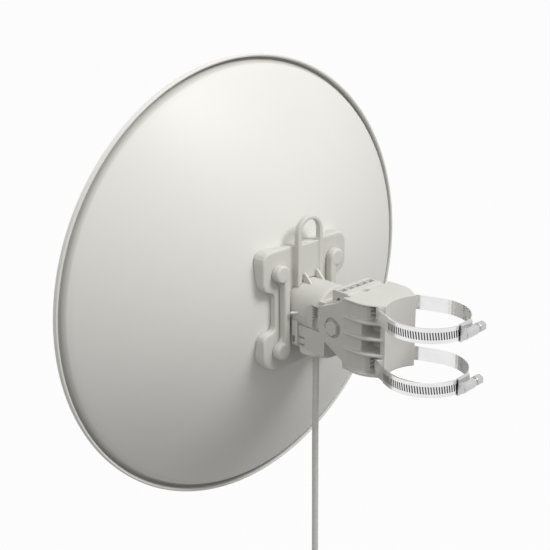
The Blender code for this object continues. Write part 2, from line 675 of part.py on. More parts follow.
# ------------------------------------------------------------------ feed on the dish's front
def make_feed(tube_look, cone_look, metal_look):
    seat = dish_front(FLANGE_R) - SEAT_GAP
    end = VERTEX_Y - FEED_LEN
    spigot = FEED_HOLE_R - SEAT_GAP
    inner = dish_back(FEED_HOLE_R)
    profile = [(0.0, inner), (spigot, inner), (spigot, seat), (FLANGE_R, seat)]
    profile += [(FLANGE_R, seat - FLANGE_T), (FEED_R + 0.0015, seat - FLANGE_T - 0.0008)]
    profile += [(FEED_R, seat - FLANGE_T - 0.0040), (FEED_TIP_R, end), (0.0, end)]
    tube = finish(turned(profile, 40), "feed_tube", tube_look, (0.0, TILT_Y, 0.0))
    start = end - SEAT_GAP
    tip = start - CONE_LEN
    profile = [(0.0, start), (FEED_TIP_R - 0.0008, start), (FEED_TIP_R - 0.0008, start - 0.003)]
    profile += [(0.0200, start - 0.0100), (0.0280, tip + 0.0030), (SUB_R - 0.0008, tip + 0.0012)]
    profile += [(SUB_R - 0.0008, tip), (0.0, tip)]
    cone = finish(turned(profile, 40), "feed_cone", cone_look, (0.0, TILT_Y, 0.0))
    start = tip - SEAT_GAP
    profile = [(0.0, start), (SUB_R, start), (SUB_R, start - 0.6 * SUB_T)]
    profile += [(SUB_R - 0.0020, start - SUB_T), (0.0120, start - SUB_T - 0.0025)]
    profile += [(0.0, start - SUB_T - 0.0030)]
    plate = finish(turned(profile, 40), "sub_reflector", metal_look, (0.0, TILT_Y, 0.0))
    return tube, cone, plate


def make_plate_screws(look):
    made = []
    number = 1
    for x in (-SCREW_X, SCREW_X):
        for z in (SCREW_Z, -SCREW_Z):
            far = math.hypot(SCREW_X, SCREW_Z) + SCREW_CAP_R
            seat = dish_front(far) - SEAT_GAP
            head = soft_slab(circle(SCREW_CAP_R, 20, x, z), "Y", seat, seat - SCREW_CAP_H, 0.0007)
            shank = rod(SCREW_R, "Y", seat - 0.0005, PLATE_Y - 0.0027, x, z, 12)
            fuse(head, shank)
            slot = SCREW_R
            cut(head, rod(slot, "Y", seat - SCREW_CAP_H - 0.001, seat - SCREW_CAP_H + 0.0012, x, z, 6))
            made.append(finish(head, "plate_screw_%d" % number, look, (x, seat, z)))
            number += 1
    return made


# ------------------------------------------------------------------ pole bracket
def ear_outline():
    """Side view of an ear, from its upper rear corner round the nose to the lower one."""
    y = TILT_Y
    rear = -(SADDLE_BACK + 0.0180)
    return [
        (rear, BRACKET_UP), (y + 0.0165, BRACKET_UP), (y + 0.0142, 0.0302), (y + 0.0075, 0.0257),
        (y + 0.0006, 0.0221), (y - 0.0052, 0.0197), (y - 0.0110, 0.0174), (y - 0.0140, 0.0161),
        (y - 0.0157, 0.0142), (y - 0.0165, 0.0112), (y - 0.0169, 0.0044), (y - 0.0169, -0.0020),
        (y - 0.0160, -0.0072), (y - 0.0141, -0.0113), (y - 0.0101, -0.0152), (y - 0.0032, -0.0188),
        (y + 0.0035, -0.0223), (y + 0.0099, -0.0259), (y + 0.0164, -0.0295),
        (y + 0.0226, -BRACKET_DOWN), (rear, -BRACKET_DOWN),
    ]


def rib_plan():
    """Half plan of a side rib, from the ear's face to the saddle."""
    end = SADDLE_BACK - 0.0060
    return [
        (EAR_OUT, -0.0686), (EAR_OUT + 0.0007, -0.0630), (EAR_OUT + 0.0010, -0.0573),
        (EAR_OUT + 0.0009, -0.0520), (EAR_OUT + 0.0003, -0.0473), (EAR_OUT - 0.0012, -0.0428),
        (EAR_OUT - 0.0033, -0.0386), (EAR_OUT - 0.0060, -0.0344), (SADDLE_HALF + 0.0002, -end),
    ]


def make_bracket(look):
    core_y = TILT_Y + CORE_FRONT
    up = BRACKET_UP
    low = -BRACKET_DOWN
    walls = [(EAR_OUT, -0.0686), (EAR_OUT - 0.0004, -0.0630), (EAR_OUT - 0.0009, -0.0573),
             (EAR_OUT - 0.0015, -0.0520), (EAR_OUT - 0.0023, -RECESS_FRONT)]
    plan = [(0.0, core_y), (EAR_IN, core_y)] + walls
    plan += [(SIDE_DEEP, -RECESS_FRONT), (SIDE_DEEP, -SADDLE_BACK + 0.001), (0.0, -SADDLE_BACK + 0.001)]
    made = prism(mirrored(plan), "Z", low, up - 0.0004)
    outline = ear_outline()
    fuse(made, prism(outline, "X", EAR_IN, EAR_OUT), prism(outline, "X", -EAR_OUT, -EAR_IN))
    front = TILT_Y - BRIDGE_FRONT
    bridge = [(front, BRIDGE_UNDER), (front, up - 0.0015), (front + 0.0015, up), (core_y + 0.004, up),
              (core_y + 0.004, BRIDGE_UNDER)]
    half = EAR_IN + 0.0007
    fuse(made, prism(bridge, "X", -half, half))
    ribs = [(low, low + RIB_T), (up - STRIP_H - TOP_T, up - STRIP_H)]
    for z in (RIB_UP, RIB_MID, -RIB_LOW):
        ribs.append((z - RIB_T / 2, z + RIB_T / 2))
    for z0, z1 in ribs:
        inner = [(0.0, core_y + 0.001), (EAR_IN + 0.001, core_y + 0.001)]
        shape = mirrored(inner + rib_plan() + [(0.0, -SADDLE_BACK + 0.010)])
        fuse(made, prism(shape, "Z", z0, z1))
    # the two end bays have a curved wall where the middle ones are deep
    bend = [(SIDE_DEEP - 0.001, -0.0540), (EAR_OUT - 0.0016, -0.0530), (EAR_OUT - 0.0026, -0.0495),
            (EAR_OUT - 0.0050, -0.0460), (EAR_OUT - 0.0082, -0.0438), (EAR_OUT - 0.0110, -0.0428),
            (SIDE_DEEP - 0.001, -0.0424)]
    for z0, z1 in ((RIB_UP, up - STRIP_H - 0.5 * TOP_T), (low + 0.5 * RIB_T, -RIB_LOW)):
        fuse(made, prism(bend, "Z", z0, z1), prism([(-u, v) for u, v in bend], "Z", z0, z1))
    face = -SADDLE_BACK + 0.0006
    saddle = [(-SADDLE_HALF, face), (SADDLE_HALF, face), (SADDLE_HALF, -0.0260),
              (-SADDLE_HALF, -0.0260)]
    fuse(made, prism(saddle, "Z", low, up - STRIP_H))
    room = BAND_W / 2 + 0.0005
    for low_x, high_x in ((SIDE_DEEP, 0.06), (-0.06, -SIDE_DEEP)):
        cut(made, block(low_x, high_x, -SADDLE_BACK - 0.001, -SADDLE_FACE, -RIB_LOW + RIB_T / 2,
                        RIB_MID - RIB_T / 2))
        cut(made, block(low_x, high_x, -SADDLE_BACK - 0.001, -SADDLE_FACE, RIB_MID + RIB_T / 2,
                        RIB_UP - RIB_T / 2))
    soft = BAND_BEND - SEAT_GAP - BAND_T / 2
    half = SHOULDER_HALF
    rear = -SADDLE_BACK
    for z in (CLAMP_UP, -CLAMP_LOW):
        # the slot that the band passes through, then the shoulders it wraps
        cut(made, block(-0.05, 0.05, rear - 0.0030, rear + 0.0010, z - room, z + room))
        shoulder = rounded([(-half, rear, soft), (half, rear, soft), (half, rear + 0.0034, 0.0),
                            (SADDLE_HALF, rear + 0.0065, 0.0), (-SADDLE_HALF, rear + 0.0065, 0.0),
                            (-half, rear + 0.0034, 0.0)])
        fuse(made, prism(shoulder, "Z", z - room - 0.0002, z + room + 0.0002))
    # nothing but the ears reaches below their slanting edge
    slant = [(TILT_Y + 0.0026, -0.0223), (TILT_Y + 0.0156, -0.0295), (TILT_Y + 0.0222, -0.0333),
             (TILT_Y + 0.0222, low - 0.01), (TILT_Y - 0.02, low - 0.01), (TILT_Y - 0.02, -0.0223)]
    side = EAR_OUT + 0.0100
    cut(made, prism(slant, "X", EAR_OUT - 0.0003, side), prism(slant, "X", -side, -EAR_OUT + 0.0003),
        prism(slant, "X", -EAR_IN - 0.0004, EAR_IN + 0.0004))
    # the strip with its pockets stands a little over the plate behind it
    behind = TILT_Y + STRIP_END
    cut(made, block(-0.06, 0.06, behind, 0.0, up - STRIP_H, up + 0.01))
    for i in range(-2, 3):
        x = i * POCKET_PITCH
        y = TILT_Y + POCKET_ROW
        cut(made, block(x - POCKET_W / 2, x + POCKET_W / 2, y - POCKET_L / 2, y + POCKET_L / 2,
                        up - POCKET_D, up + 0.01))
    x = 0.0016
    cut(made, block(x - POCKET_W / 2, x + POCKET_W / 2, behind + 0.0006, behind + 0.0040,
                    up - POCKET_D, up + 0.01))
    for side in (-1.0, 1.0):
        eye = [(TILT_Y - 0.0045, 0.0212), (TILT_Y + 0.0020, 0.0236), (TILT_Y + 0.0010, 0.0262)]
        ends = sorted((side * (EAR_IN - 0.0040), side * (EAR_IN + 0.0020)))
        cut(made, prism(eye, "X", ends[0], ends[1]))
        ends = sorted((side * (EAR_OUT - RECESS_D), side * (EAR_OUT + 0.01)))
        cut(made, rod(RECESS_R, "X", ends[0], ends[1], TILT_Y, 0.0, 32))
    cut(made, rod(POLE_R + SEAT_GAP, "Z", low - 0.01, up + 0.01, count=72),
        rod(BOLT_R + BOLT_CLEAR, "X", -0.05, 0.05, TILT_Y, 0.0, 32))
    return finish(made, "pole_bracket", look, (0.0, 0.0, 0.0), 30)


def make_pivot(bolt_look, nut_look):
    seat = EAR_OUT - RECESS_D + SEAT_GAP
    across = HEAD_AF / math.sqrt(3)
    turn = math.pi / 2
    head = soft_slab(circle(across, 6, TILT_Y, 0.0, turn), "X", seat, seat + HEAD_H, 0.0008)
    tail = -(seat + WASHER_T + 2 * SEAT_GAP + HEAD_H + 0.0020)
    fuse(head, rod(BOLT_R, "X", tail, seat + 0.001, TILT_Y, 0.0, 32))
    bolt = finish(head, "pivot_bolt", bolt_look, (0.0, TILT_Y, 0.0))
    washer = rod(WASHER_R, "X", -seat - WASHER_T, -seat, TILT_Y, 0.0, 28)
    cut(washer, rod(BOLT_R + SEAT_GAP, "X", -0.05, 0.05, TILT_Y, 0.0, 28))
    washer = finish(washer, "pivot_washer", nut_look, (0.0, TILT_Y, 0.0))
    start = -(seat + WASHER_T + SEAT_GAP)
    nut = soft_slab(circle(across, 6, TILT_Y, 0.0, turn), "X", start, start - HEAD_H, 0.0008)
    cut(nut, rod(BOLT_R + SEAT_GAP, "X", -0.05, 0.05, TILT_Y, 0.0, 32))
    return bolt, washer, finish(nut, "pivot_nut", nut_look, (0.0, TILT_Y, 0.0))


# ------------------------------------------------------------------ hose clamps
def band_loop():
    """Centreline of the band's inner layer: round the pole, behind the saddle, and back."""
    ring = POLE_R + SEAT_GAP / 2 + BAND_T / 2
    bend = BAND_BEND
    cy = -(SADDLE_BACK + SEAT_GAP + BAND_T / 2) + bend
    cx = SHOULDER_HALF + SEAT_GAP + BAND_T / 2 - bend
    away = math.hypot(cx, cy)
    lean = math.asin((ring - bend) / away)
    toward = math.atan2(cy, cx)
    leave = toward + (math.pi / 2 - lean)
    start = math.radians(BUCKLE_ANGLE + 10.0)
    points = []
    steps = 22
    for i in range(steps + 1):
        a = start + (leave - start) * i / steps
        points.append((ring * math.cos(a), ring * math.sin(a)))
    for i in range(6):
        a = leave + (-math.pi / 2 - leave) * i / 5
        points.append((cx + bend * math.cos(a), cy + bend * math.sin(a)))
    for i in range(6):
        a = -math.pi / 2 - (leave + math.pi / 2) * i / 5
        points.append((-cx + bend * math.cos(a), cy + bend * math.sin(a)))
    left = math.pi - leave
    for i in range(19):
        a = -(2 * math.pi - left) + (start - 2 * math.pi + (2 * math.pi - left)) * i / 18
        points.append((ring * math.cos(a), ring * math.sin(a)))
    return points


def along(points, lengths, s):
    total = lengths[-1]
    s = s % total if s > total else s
    for i in range(len(points) - 1):
        if s <= lengths[i + 1] + 1e-12:
            t = (s - lengths[i]) / (lengths[i + 1] - lengths[i])
            a = Vector(points[i])
            b = Vector(points[i + 1])
            spot = a.lerp(b, t)
            way = (b - a).normalized()
            return spot, Vector((-way.y, way.x))
    a = Vector(points[-2])
    b = Vector(points[-1])
    way = (b - a).normalized()
    return b, Vector((-way.y, way.x))


def make_band(z, tail_angle, look, name):
    points = band_loop()
    # vertex normals, mean of the neighbours, looking away from the pole
    count = len(points)
    normals = []
    for i in range(count):
        a = Vector(points[max(i - 1, 0)])
        b = Vector(points[min(i + 1, count - 1)])
        way = (b - a).normalized()
        normals.append(Vector((-way.y, way.x)))
    lengths = [0.0]
    for a, b in zip(points, points[1:]):
        lengths.append(lengths[-1] + (Vector(b) - Vector(a)).length)
    total = lengths[-1]
    step = BAND_T + BAND_LAP
    ramp = 0.0120
    ring = POLE_R + SEAT_GAP / 2 + BAND_T / 2
    stations = []
    for i in range(count):
        s = lengths[i]
        t = max(0.0, min(1.0, (s - (total - ramp)) / ramp))
        lift = step * t * t * (3 - 2 * t)
        base = Vector(points[i]) + normals[i] * lift
        stations.append((base, normals[i]))
    # the ramp gets its own closer stations
    stations = [item for item, s in zip(stations, lengths) if s < total - ramp]
    for k in range(7):
        s = total - ramp + ramp * k / 6
        t = k / 6
        lift = step * t * t * (3 - 2 * t)
        spot, normal = along(points, lengths, s)
        radial = spot.normalized()
        stations.append((radial * (ring + lift), radial))
    # tail: second layer with its slots, from the buckle to its free end
    begin = math.radians(BUCKLE_ANGLE + 10.0)
    finish_at = math.radians(tail_angle)
    turn = SLOT_PITCH / (ring + step)
    slots = int((begin - finish_at) / turn)
    arc_length = ring * (begin - finish_at)

    def second(s):
        """Point of the outer layer, s along the inner layer's centreline."""
        spot, normal = along(points, lengths, max(0.0, s))
        free = s <= ring * (begin - math.radians(-15.0))
        outward = spot.normalized() if free else normal
        base = spot.normalized() * ring if free else spot
        return base + outward * step, outward

    pitch = arc_length / slots
    half_t = BAND_T / 2
    half_w = BAND_W / 2
    half_h = SLOT_H / 2
    bm = bmesh.new()

    def vert(base, normal, lift, v):
        spot = base + normal * lift
        return bm.verts.new((spot.x, spot.y, z + v))

    plain = []
    for base, normal in stations:
        out = [vert(base, normal, half_t, v) for v in (-half_w, half_w)]
        inn = [vert(base, normal, -half_t, v) for v in (-half_w, half_w)]
        plain.append((out, inn))
    rows = (-half_w, -half_h, half_h, half_w)
    shifts = (0.0, -SLOT_SLANT / 2, SLOT_SLANT / 2, 0.0)
    cols = []
    for k in range(slots):
        for part in (0.25, 0.25 + SLOT_W / pitch):
            s = (k + part) * pitch
            out = []
            inn = []
            for v, shift in zip(rows, shifts):
                base, normal = second(s + shift)
                out.append(vert(base, normal, half_t, v))
                inn.append(vert(base, normal, -half_t, v))
            cols.append((out, inn))
    # free end, rounded at its corners
    out = []
    inn = []
    for v, shift in zip(rows, (0.0, 0.0016, 0.0016, 0.0)):
        base, normal = second(arc_length + shift)
        out.append(vert(base, normal, half_t, v))
        inn.append(vert(base, normal, -half_t, v))
    cols.append((out, inn))

    first = plain[0]
    bm.faces.new((first[0][0], first[0][1], first[1][1], first[1][0]))
    for (o1, i1), (o2, i2) in zip(plain, plain[1:]):
        bm.faces.new((o1[0], o1[1], o2[1], o2[0]))
        bm.faces.new((i1[0], i2[0], i2[1], i1[1]))
        bm.faces.new((o1[0], o2[0], i2[0], i1[0]))
        bm.faces.new((o1[1], i1[1], i2[1], o2[1]))
    o1, i1 = plain[-1]
    o2, i2 = cols[0]
    bm.faces.new((o1[0], o1[1], o2[3], o2[2], o2[1], o2[0]))
    bm.faces.new((i1[0], i2[0], i2[1], i2[2], i2[3], i1[1]))
    bm.faces.new((o1[0], o2[0], i2[0], i1[0]))
    bm.faces.new((o1[1], i1[1], i2[3], o2[3]))
    for k, ((o1, i1), (o2, i2)) in enumerate(zip(cols, cols[1:])):
        slot = k % 2 == 0 and k < 2 * slots
        for r in range(3):
            if slot and r == 1:
                continue
            bm.faces.new((o1[r], o1[r + 1], o2[r + 1], o2[r]))
            bm.faces.new((i1[r], i2[r], i2[r + 1], i1[r + 1]))
        if slot:
            bm.faces.new((o1[1], o1[2], i1[2], i1[1]))
            bm.faces.new((o2[2], o2[1], i2[1], i2[2]))
            bm.faces.new((o2[1], o1[1], i1[1], i2[1]))
            bm.faces.new((o1[2], o2[2], i2[2], i1[2]))
        bm.faces.new((o1[0], o2[0], i2[0], i1[0]))
        bm.faces.new((o1[3], i1[3], i2[3], o2[3]))
    o1, i1 = cols[-1]
    for r in range(3):
        bm.faces.new((o1[r], i1[r], i1[r + 1], o1[r + 1]))
    made = to_object(name, bm)
    return finish(made, name, look, (0.0, 0.0, z), 30)


def worm_height():
    outer = POLE_R + SEAT_GAP / 2 + 2 * BAND_T + BAND_LAP
    return outer + SEAT_GAP + 0.0001 + WORM_R


def make_buckle(z, look, name):
    """Worm housing: side tabs, floor and tunnel, drawn across the band and extruded along it."""
    axis = worm_height()
    outer = POLE_R + SEAT_GAP / 2 + 2 * BAND_T + BAND_LAP
    floor = outer + SEAT_GAP
    roof = floor + BUCKLE_FLOOR
    half = BUCKLE_W / 2
    tab = BAND_W / 2 + SEAT_GAP
    low = POLE_R + SEAT_GAP
    bore = WORM_R + SEAT_GAP
    shell = bore + WORM_WALL
    mouth = math.sqrt(bore * bore - (axis - floor) ** 2) if axis - floor < bore else 0.0008
    section = [(-half, low), (-half, roof - 0.0006), (-half + 0.0006, roof)]
    rise = math.asin(max(-1.0, min(1.0, (roof - axis) / shell)))
    for i in range(13):
        a = math.pi - rise + (rise - (math.pi - rise)) * i / 12
        section.append((shell * math.cos(a), axis + shell * math.sin(a)))
    section += [(half - 0.0006, roof), (half, roof - 0.0006), (half, low), (tab, low), (tab, floor)]
    section.append((mouth, floor))
    dip = math.atan2(floor - axis, mouth)
    for i in range(1, 16):
        a = dip + (math.pi - 2 * dip) * i / 16
        section.append((bore * math.cos(a), axis + bore * math.sin(a)))
    section += [(-mouth, floor), (-tab, floor), (-tab, low)]
    angle = math.radians(BUCKLE_ANGLE)
    out = Vector((math.cos(angle), math.sin(angle), 0.0))
    way = Vector((-math.sin(angle), math.cos(angle), 0.0))
    rings = []
    for w in (-BUCKLE_LEN / 2, BUCKLE_LEN / 2):
        rings.append([tuple(out * v + way * w + Vector((0, 0, z + u))) for u, v in section])
    made = loft(rings)
    return finish(made, name, look, (0.0, 0.0, z), 30)


def make_worm(z, look, name):
    """Worm screw with its slotted hexagon head, along the band at the housing."""
    angle = math.radians(BUCKLE_ANGLE)
    out = Vector((math.cos(angle), math.sin(angle), 0.0))
    way = Vector((-math.sin(angle), math.cos(angle), 0.0))
    centre = out * worm_height() + Vector((0, 0, z))
    body = [(-BUCKLE_LEN / 2 - 0.0006, WORM_R - 0.0008), (-BUCKLE_LEN / 2, WORM_R)]
    body += [(BUCKLE_LEN / 2, WORM_R), (BUCKLE_LEN / 2 + 0.0006, WORM_R)]
    body += [(BUCKLE_LEN / 2 + SCREW_NECK, WORM_R)]

    def ring(w, radius, sides, turn=0.0):
        points = []
        for k in range(sides):
            a = turn + 2 * math.pi * k / sides
            spoke = out * (radius * math.cos(a)) + Vector((0, 0, radius * math.sin(a)))
            points.append(tuple(centre + way * w + spoke))
        return points

    made = loft([ring(w, r, 24) for w, r in body])
    start = BUCKLE_LEN / 2 + SCREW_NECK - 0.0002
    corner = SCREW_HEAD_AF / math.sqrt(3)
    shape = [(start, corner - 0.0006), (start + 0.0008, corner)]
    shape += [(start + SCREW_HEAD_H - 0.0008, corner), (start + SCREW_HEAD_H, corner - 0.0008)]
    fuse(made, loft([ring(w, r, 6) for w, r in shape]))
    blade = start + SCREW_HEAD_H
    rings = []
    for w in (blade - 0.0014, blade + 0.002):
        spots = []
        for u, v in ((-0.006, -0.0006), (0.006, -0.0006), (0.006, 0.0006), (-0.006, 0.0006)):
            spots.append(tuple(centre + way * w + out * u + Vector((0, 0, v))))
        rings.append(spots)
    cut(made, loft(rings))
    return finish(made, name, look, tuple(centre), 30)


# ------------------------------------------------------------------ cable
def tube(points, name, look, resolution=3, smooth=True):
    curve = bpy.data.curves.new(name, "CURVE")
    curve.dimensions = "3D"
    curve.bevel_depth = CABLE_R
    curve.bevel_resolution = resolution
    curve.use_fill_caps = True
    spline = curve.splines.new("POLY")
    spline.points.add(len(points) - 1)
    for slot, point in zip(spline.points, points):
        slot.co = (*point, 1.0)
    made = bpy.data.objects.new(name, curve)
    bpy.context.scene.collection.objects.link(made)
    curve.materials.append(look)
    return made


def run_points(top, bottom):
    """Hand-placed sway of the hanging cable: straight down, with the least bow to one side."""
    bow = ((0.0, 0.0), (0.15, 0.0), (0.40, 0.0006), (0.70, 0.0004), (0.94, 0.0), (1.0, 0.0))
    count = 22
    points = []
    for i in range(count + 1):
        t = i / count
        for (t0, x0), (t1, x1) in zip(bow, bow[1:]):
            if t <= t1 + 1e-9:
                s = (t - t0) / (t1 - t0)
                s = s * s * (3 - 2 * s)
                x = x0 + (x1 - x0) * s
                break
        points.append((x, CABLE_Y, top + (bottom - top) * t))
    return points


def coil_points():
    """Free coil of whole turns, entered and left straight down."""
    centre_y = CABLE_Y - COIL_R
    top = -COIL_DROP + 2 * CABLE_R
    points = [(0.0, CABLE_Y, top)]
    per = 24
    for i in range(COIL_TURNS * per + 1):
        a = 2 * math.pi * i / per
        x = COIL_PITCH * i / per
        points.append((x, centre_y + COIL_R * math.cos(a), -COIL_DROP - COIL_R * math.sin(a)))
    points.append((COIL_PITCH * COIL_TURNS, CABLE_Y, -COIL_DROP - 2 * CABLE_R))
    return points


def least_gap(points):
    """Least clear distance between stretches of the coil that lie over one diameter apart."""
    fine = []
    for a, b in zip(points, points[1:]):
        for k in range(4):
            fine.append(Vector(a).lerp(Vector(b), k / 4))
    lengths = [0.0]
    for a, b in zip(fine, fine[1:]):
        lengths.append(lengths[-1] + (b - a).length)
    best = 1.0
    for i in range(len(fine)):
        for j in range(i + 1, len(fine)):
            if lengths[j] - lengths[i] > 6 * CABLE_R:
                best = min(best, (fine[i] - fine[j]).length)
    return best - 2 * CABLE_R


def length_of(points):
    return sum((Vector(b) - Vector(a)).length for a, b in zip(points, points[1:]))


def make_cable(cable_look, boot_look, plug_look, tie_look):
    socket_mouth = SOCKET_UP - SOCKET_ROOF - 2 * SEAT_GAP
    upper = make_plug(socket_mouth, "socket_plug", plug_look)
    start = socket_mouth - PLUG_LEN - SEAT_GAP
    coil = coil_points()
    end = coil[0][2] + SEAT_GAP
    run = run_points(start, end)
    tube(run, "cable_run", cable_look)
    tube(coil, "cable_coil", cable_look, resolution=1)
    print("coil's least gap to itself %.2f mm" % (1000 * least_gap(coil)))
    last = coil[-1]
    begin = last[2] - SEAT_GAP
    tail = [(last[0], CABLE_Y, begin - TAIL_LEN * i / 4) for i in range(5)]
    tube(tail, "cable_tail", cable_look)
    low = tail[-1][2] - SEAT_GAP
    print("cable length %.0f mm" % (1000 * (length_of(run) + length_of(coil) + TAIL_LEN)))
    cone = [(CABLE_R + 0.0009, low), (CABLE_R + 0.0022, low - BOOT_LEN + 0.001),
            (CABLE_R + 0.0022, low - BOOT_LEN)]
    rings = [[(last[0] + r * math.cos(a), CABLE_Y + r * math.sin(a), z)
              for a in [2 * math.pi * k / 20 for k in range(20)]] for r, z in cone]
    boot = finish(loft(rings), "cable_boot", boot_look, (last[0], CABLE_Y, low))
    make_plug(low - BOOT_LEN - SEAT_GAP, "end_plug", plug_look, last[0])
    # tie round the turns at the side away from the hanging run
    side_y = CABLE_Y - 2 * COIL_R
    middle = COIL_PITCH * COIL_TURNS / 2
    half_x = COIL_PITCH * (COIL_TURNS - 1) / 2 + CABLE_R + SEAT_GAP + 0.0001
    half_y = CABLE_R + SEAT_GAP + 0.0002

    def ring(grow, z):
        corner = half_y * 0.9 + grow
        shape = rounded([(middle - half_x - grow, side_y - half_y - grow, corner),
                         (middle + half_x + grow, side_y - half_y - grow, corner),
                         (middle + half_x + grow, side_y + half_y + grow, corner),
                         (middle - half_x - grow, side_y + half_y + grow, corner)], 4)
        return [(u, v, z) for u, v in shape]

    z0 = -COIL_DROP - TIE_W / 2
    z1 = -COIL_DROP + TIE_W / 2
    tie = loft([ring(0.0, z0), ring(TIE_T, z0), ring(TIE_T, z1), ring(0.0, z1)], closed=True)
    head = block(middle - 0.0025, middle + 0.0025, side_y - half_y - TIE_T - 0.0030,
                 side_y - half_y - TIE_T + 0.0004, z0 - 0.0006, z1 + 0.0006)
    fuse(tie, head)
    finish(tie, "cable_tie", tie_look, (middle, side_y, -COIL_DROP))
    return upper, boot


def main():
    clear_scene()
    shell = material("dish_shell", (0.84, 0.83, 0.79), 0.38, 0.0)
    mould = material("moulded_grey", (0.66, 0.65, 0.60), 0.46, 0.0)
    steel = material("clamp_steel", (0.78, 0.78, 0.77), 0.24, 1.0)
    rubber = material("gland_rubber", (0.30, 0.30, 0.29), 0.70, 0.0)
    sheath = material("cable_sheath", (0.62, 0.62, 0.60), 0.50, 0.0)
    clear = material("plug_plastic", (0.72, 0.74, 0.75), 0.20, 0.0)
    board = material("circuit_board", (0.05, 0.22, 0.10), 0.45, 0.0)
    cap = material("feed_plastic", (0.80, 0.80, 0.77), 0.42, 0.0)
    black = material("tie_nylon", (0.04, 0.04, 0.04), 0.45, 0.0)

    make_reflector(shell)
    make_plate(mould)
    make_rail(1.0, mould, "left_side_rail")
    make_rail(-1.0, mould, "right_side_rail")
    make_housing(mould)
    make_door(mould)
    make_gland(rubber)
    make_board(board)
    make_socket(steel)
    make_feed(cap, cap, steel)
    make_plate_screws(steel)
    make_bracket(mould)
    make_pivot(mould, steel)
    for z, tail, word in ((CLAMP_UP, TAIL_UP, "upper"), (-CLAMP_LOW, TAIL_LOW, "lower")):
        make_band(z, tail, steel, word + "_clamp_band")
        make_buckle(z, steel, word + "_clamp_housing")
        make_worm(z, steel, word + "_clamp_screw")
    make_cable(sheath, sheath, clear, black)


main()
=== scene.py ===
# %% [markdown]
# # A dish antenna on its tilt bracket
#
# This notebook dresses an outdoor dish antenna, seen from behind. The solid parts come
# ready made from the CAD model, in metres, with Z up and the dish looking along -Y. Each cell
# adds one finish or one finer piece, and prints what it made, so it can be followed top down.

import bmesh
import bpy
import math
from mathutils import Matrix, Vector


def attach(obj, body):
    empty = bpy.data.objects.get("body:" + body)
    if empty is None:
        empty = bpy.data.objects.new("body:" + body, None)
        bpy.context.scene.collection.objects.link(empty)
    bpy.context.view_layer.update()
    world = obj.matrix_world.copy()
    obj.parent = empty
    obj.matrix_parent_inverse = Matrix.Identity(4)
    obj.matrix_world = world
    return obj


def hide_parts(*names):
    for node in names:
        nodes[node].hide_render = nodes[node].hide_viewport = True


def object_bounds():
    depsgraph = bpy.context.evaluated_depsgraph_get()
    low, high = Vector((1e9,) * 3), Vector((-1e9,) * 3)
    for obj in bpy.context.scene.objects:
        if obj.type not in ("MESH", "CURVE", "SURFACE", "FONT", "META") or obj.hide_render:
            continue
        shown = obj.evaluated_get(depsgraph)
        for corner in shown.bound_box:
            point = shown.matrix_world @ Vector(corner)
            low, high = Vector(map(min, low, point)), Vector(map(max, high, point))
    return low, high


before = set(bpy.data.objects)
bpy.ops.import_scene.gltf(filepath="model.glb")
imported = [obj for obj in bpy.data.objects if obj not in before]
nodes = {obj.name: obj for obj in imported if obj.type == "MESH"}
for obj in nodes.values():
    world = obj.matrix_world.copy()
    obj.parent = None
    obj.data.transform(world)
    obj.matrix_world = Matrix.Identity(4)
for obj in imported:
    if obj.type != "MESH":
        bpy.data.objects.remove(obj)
cad_box = [list(corner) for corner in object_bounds()]
print("CAD box in mm:", [[round(1000 * v, 1) for v in corner] for corner in cad_box])

# %% [markdown]
# ## Camera
#
# A photograph is matched by giving the camera the same place, direction and lens. The direction
# is kept as three readable angles: azimuth round the upright axis, elevation over the horizon,
# and a very small roll. Building the rotation from them is clearer than a row of matrix numbers.

# %% Camera at the photograph's angle
CAMERA_AT = Vector((0.6961, 0.5568, 0.3793))
AZIMUTH, ELEVATION, ROLL = (math.radians(v) for v in (136.59, 19.78, -0.48))
LENS_MM = 77.36


def camera_turn(azimuth, elevation, roll):
    back = Vector((math.sin(azimuth) * math.cos(elevation),
                   -math.cos(azimuth) * math.cos(elevation), math.sin(elevation)))
    side = Vector((math.cos(azimuth), math.sin(azimuth), 0.0))
    up = back.cross(side)
    right = side * math.cos(roll) + up * math.sin(roll)
    up = up * math.cos(roll) - side * math.sin(roll)
    return Matrix((right, up, back)).transposed().to_4x4()


eye = bpy.data.objects.new("camera", bpy.data.cameras.new("camera"))
eye.data.sensor_width = 36.0
eye.data.lens = LENS_MM
eye.matrix_world = Matrix.Translation(CAMERA_AT) @ camera_turn(AZIMUTH, ELEVATION, ROLL)
bpy.context.scene.collection.objects.link(eye)
bpy.context.scene.camera = eye
print("camera", [round(v, 3) for v in CAMERA_AT], "lens", LENS_MM)

# %% [markdown]
# ## The network cable's route
#
# A free cable is first a length and then a shape. Its line is one smooth path: straight down out
# of the rubber gland, round three loops that are put away below, and down to its plug. The path
# is computed from the loop's radius and pitch, so the loops stay even and never touch.

# %% Points of the cable's line
CABLE_R = 0.0030
CABLE_Y = -0.1263
RUN_TOP = -0.0139
COIL_R = 0.0340
COIL_TURNS = 3
COIL_PITCH = 0.0067
COIL_DROP = 0.3300
TAIL_END = -0.3813
SWAY = ((0.0, 0.0), (0.15, 0.0), (0.40, 0.0006), (0.70, 0.0004), (0.94, 0.0), (1.0, 0.0))


def sway_at(t):
    for (t0, x0), (t1, x1) in zip(SWAY, SWAY[1:]):
        if t <= t1 + 1e-9:
            s = (t - t0) / (t1 - t0)
            return x0 + (x1 - x0) * s * s * (3 - 2 * s)
    return 0.0


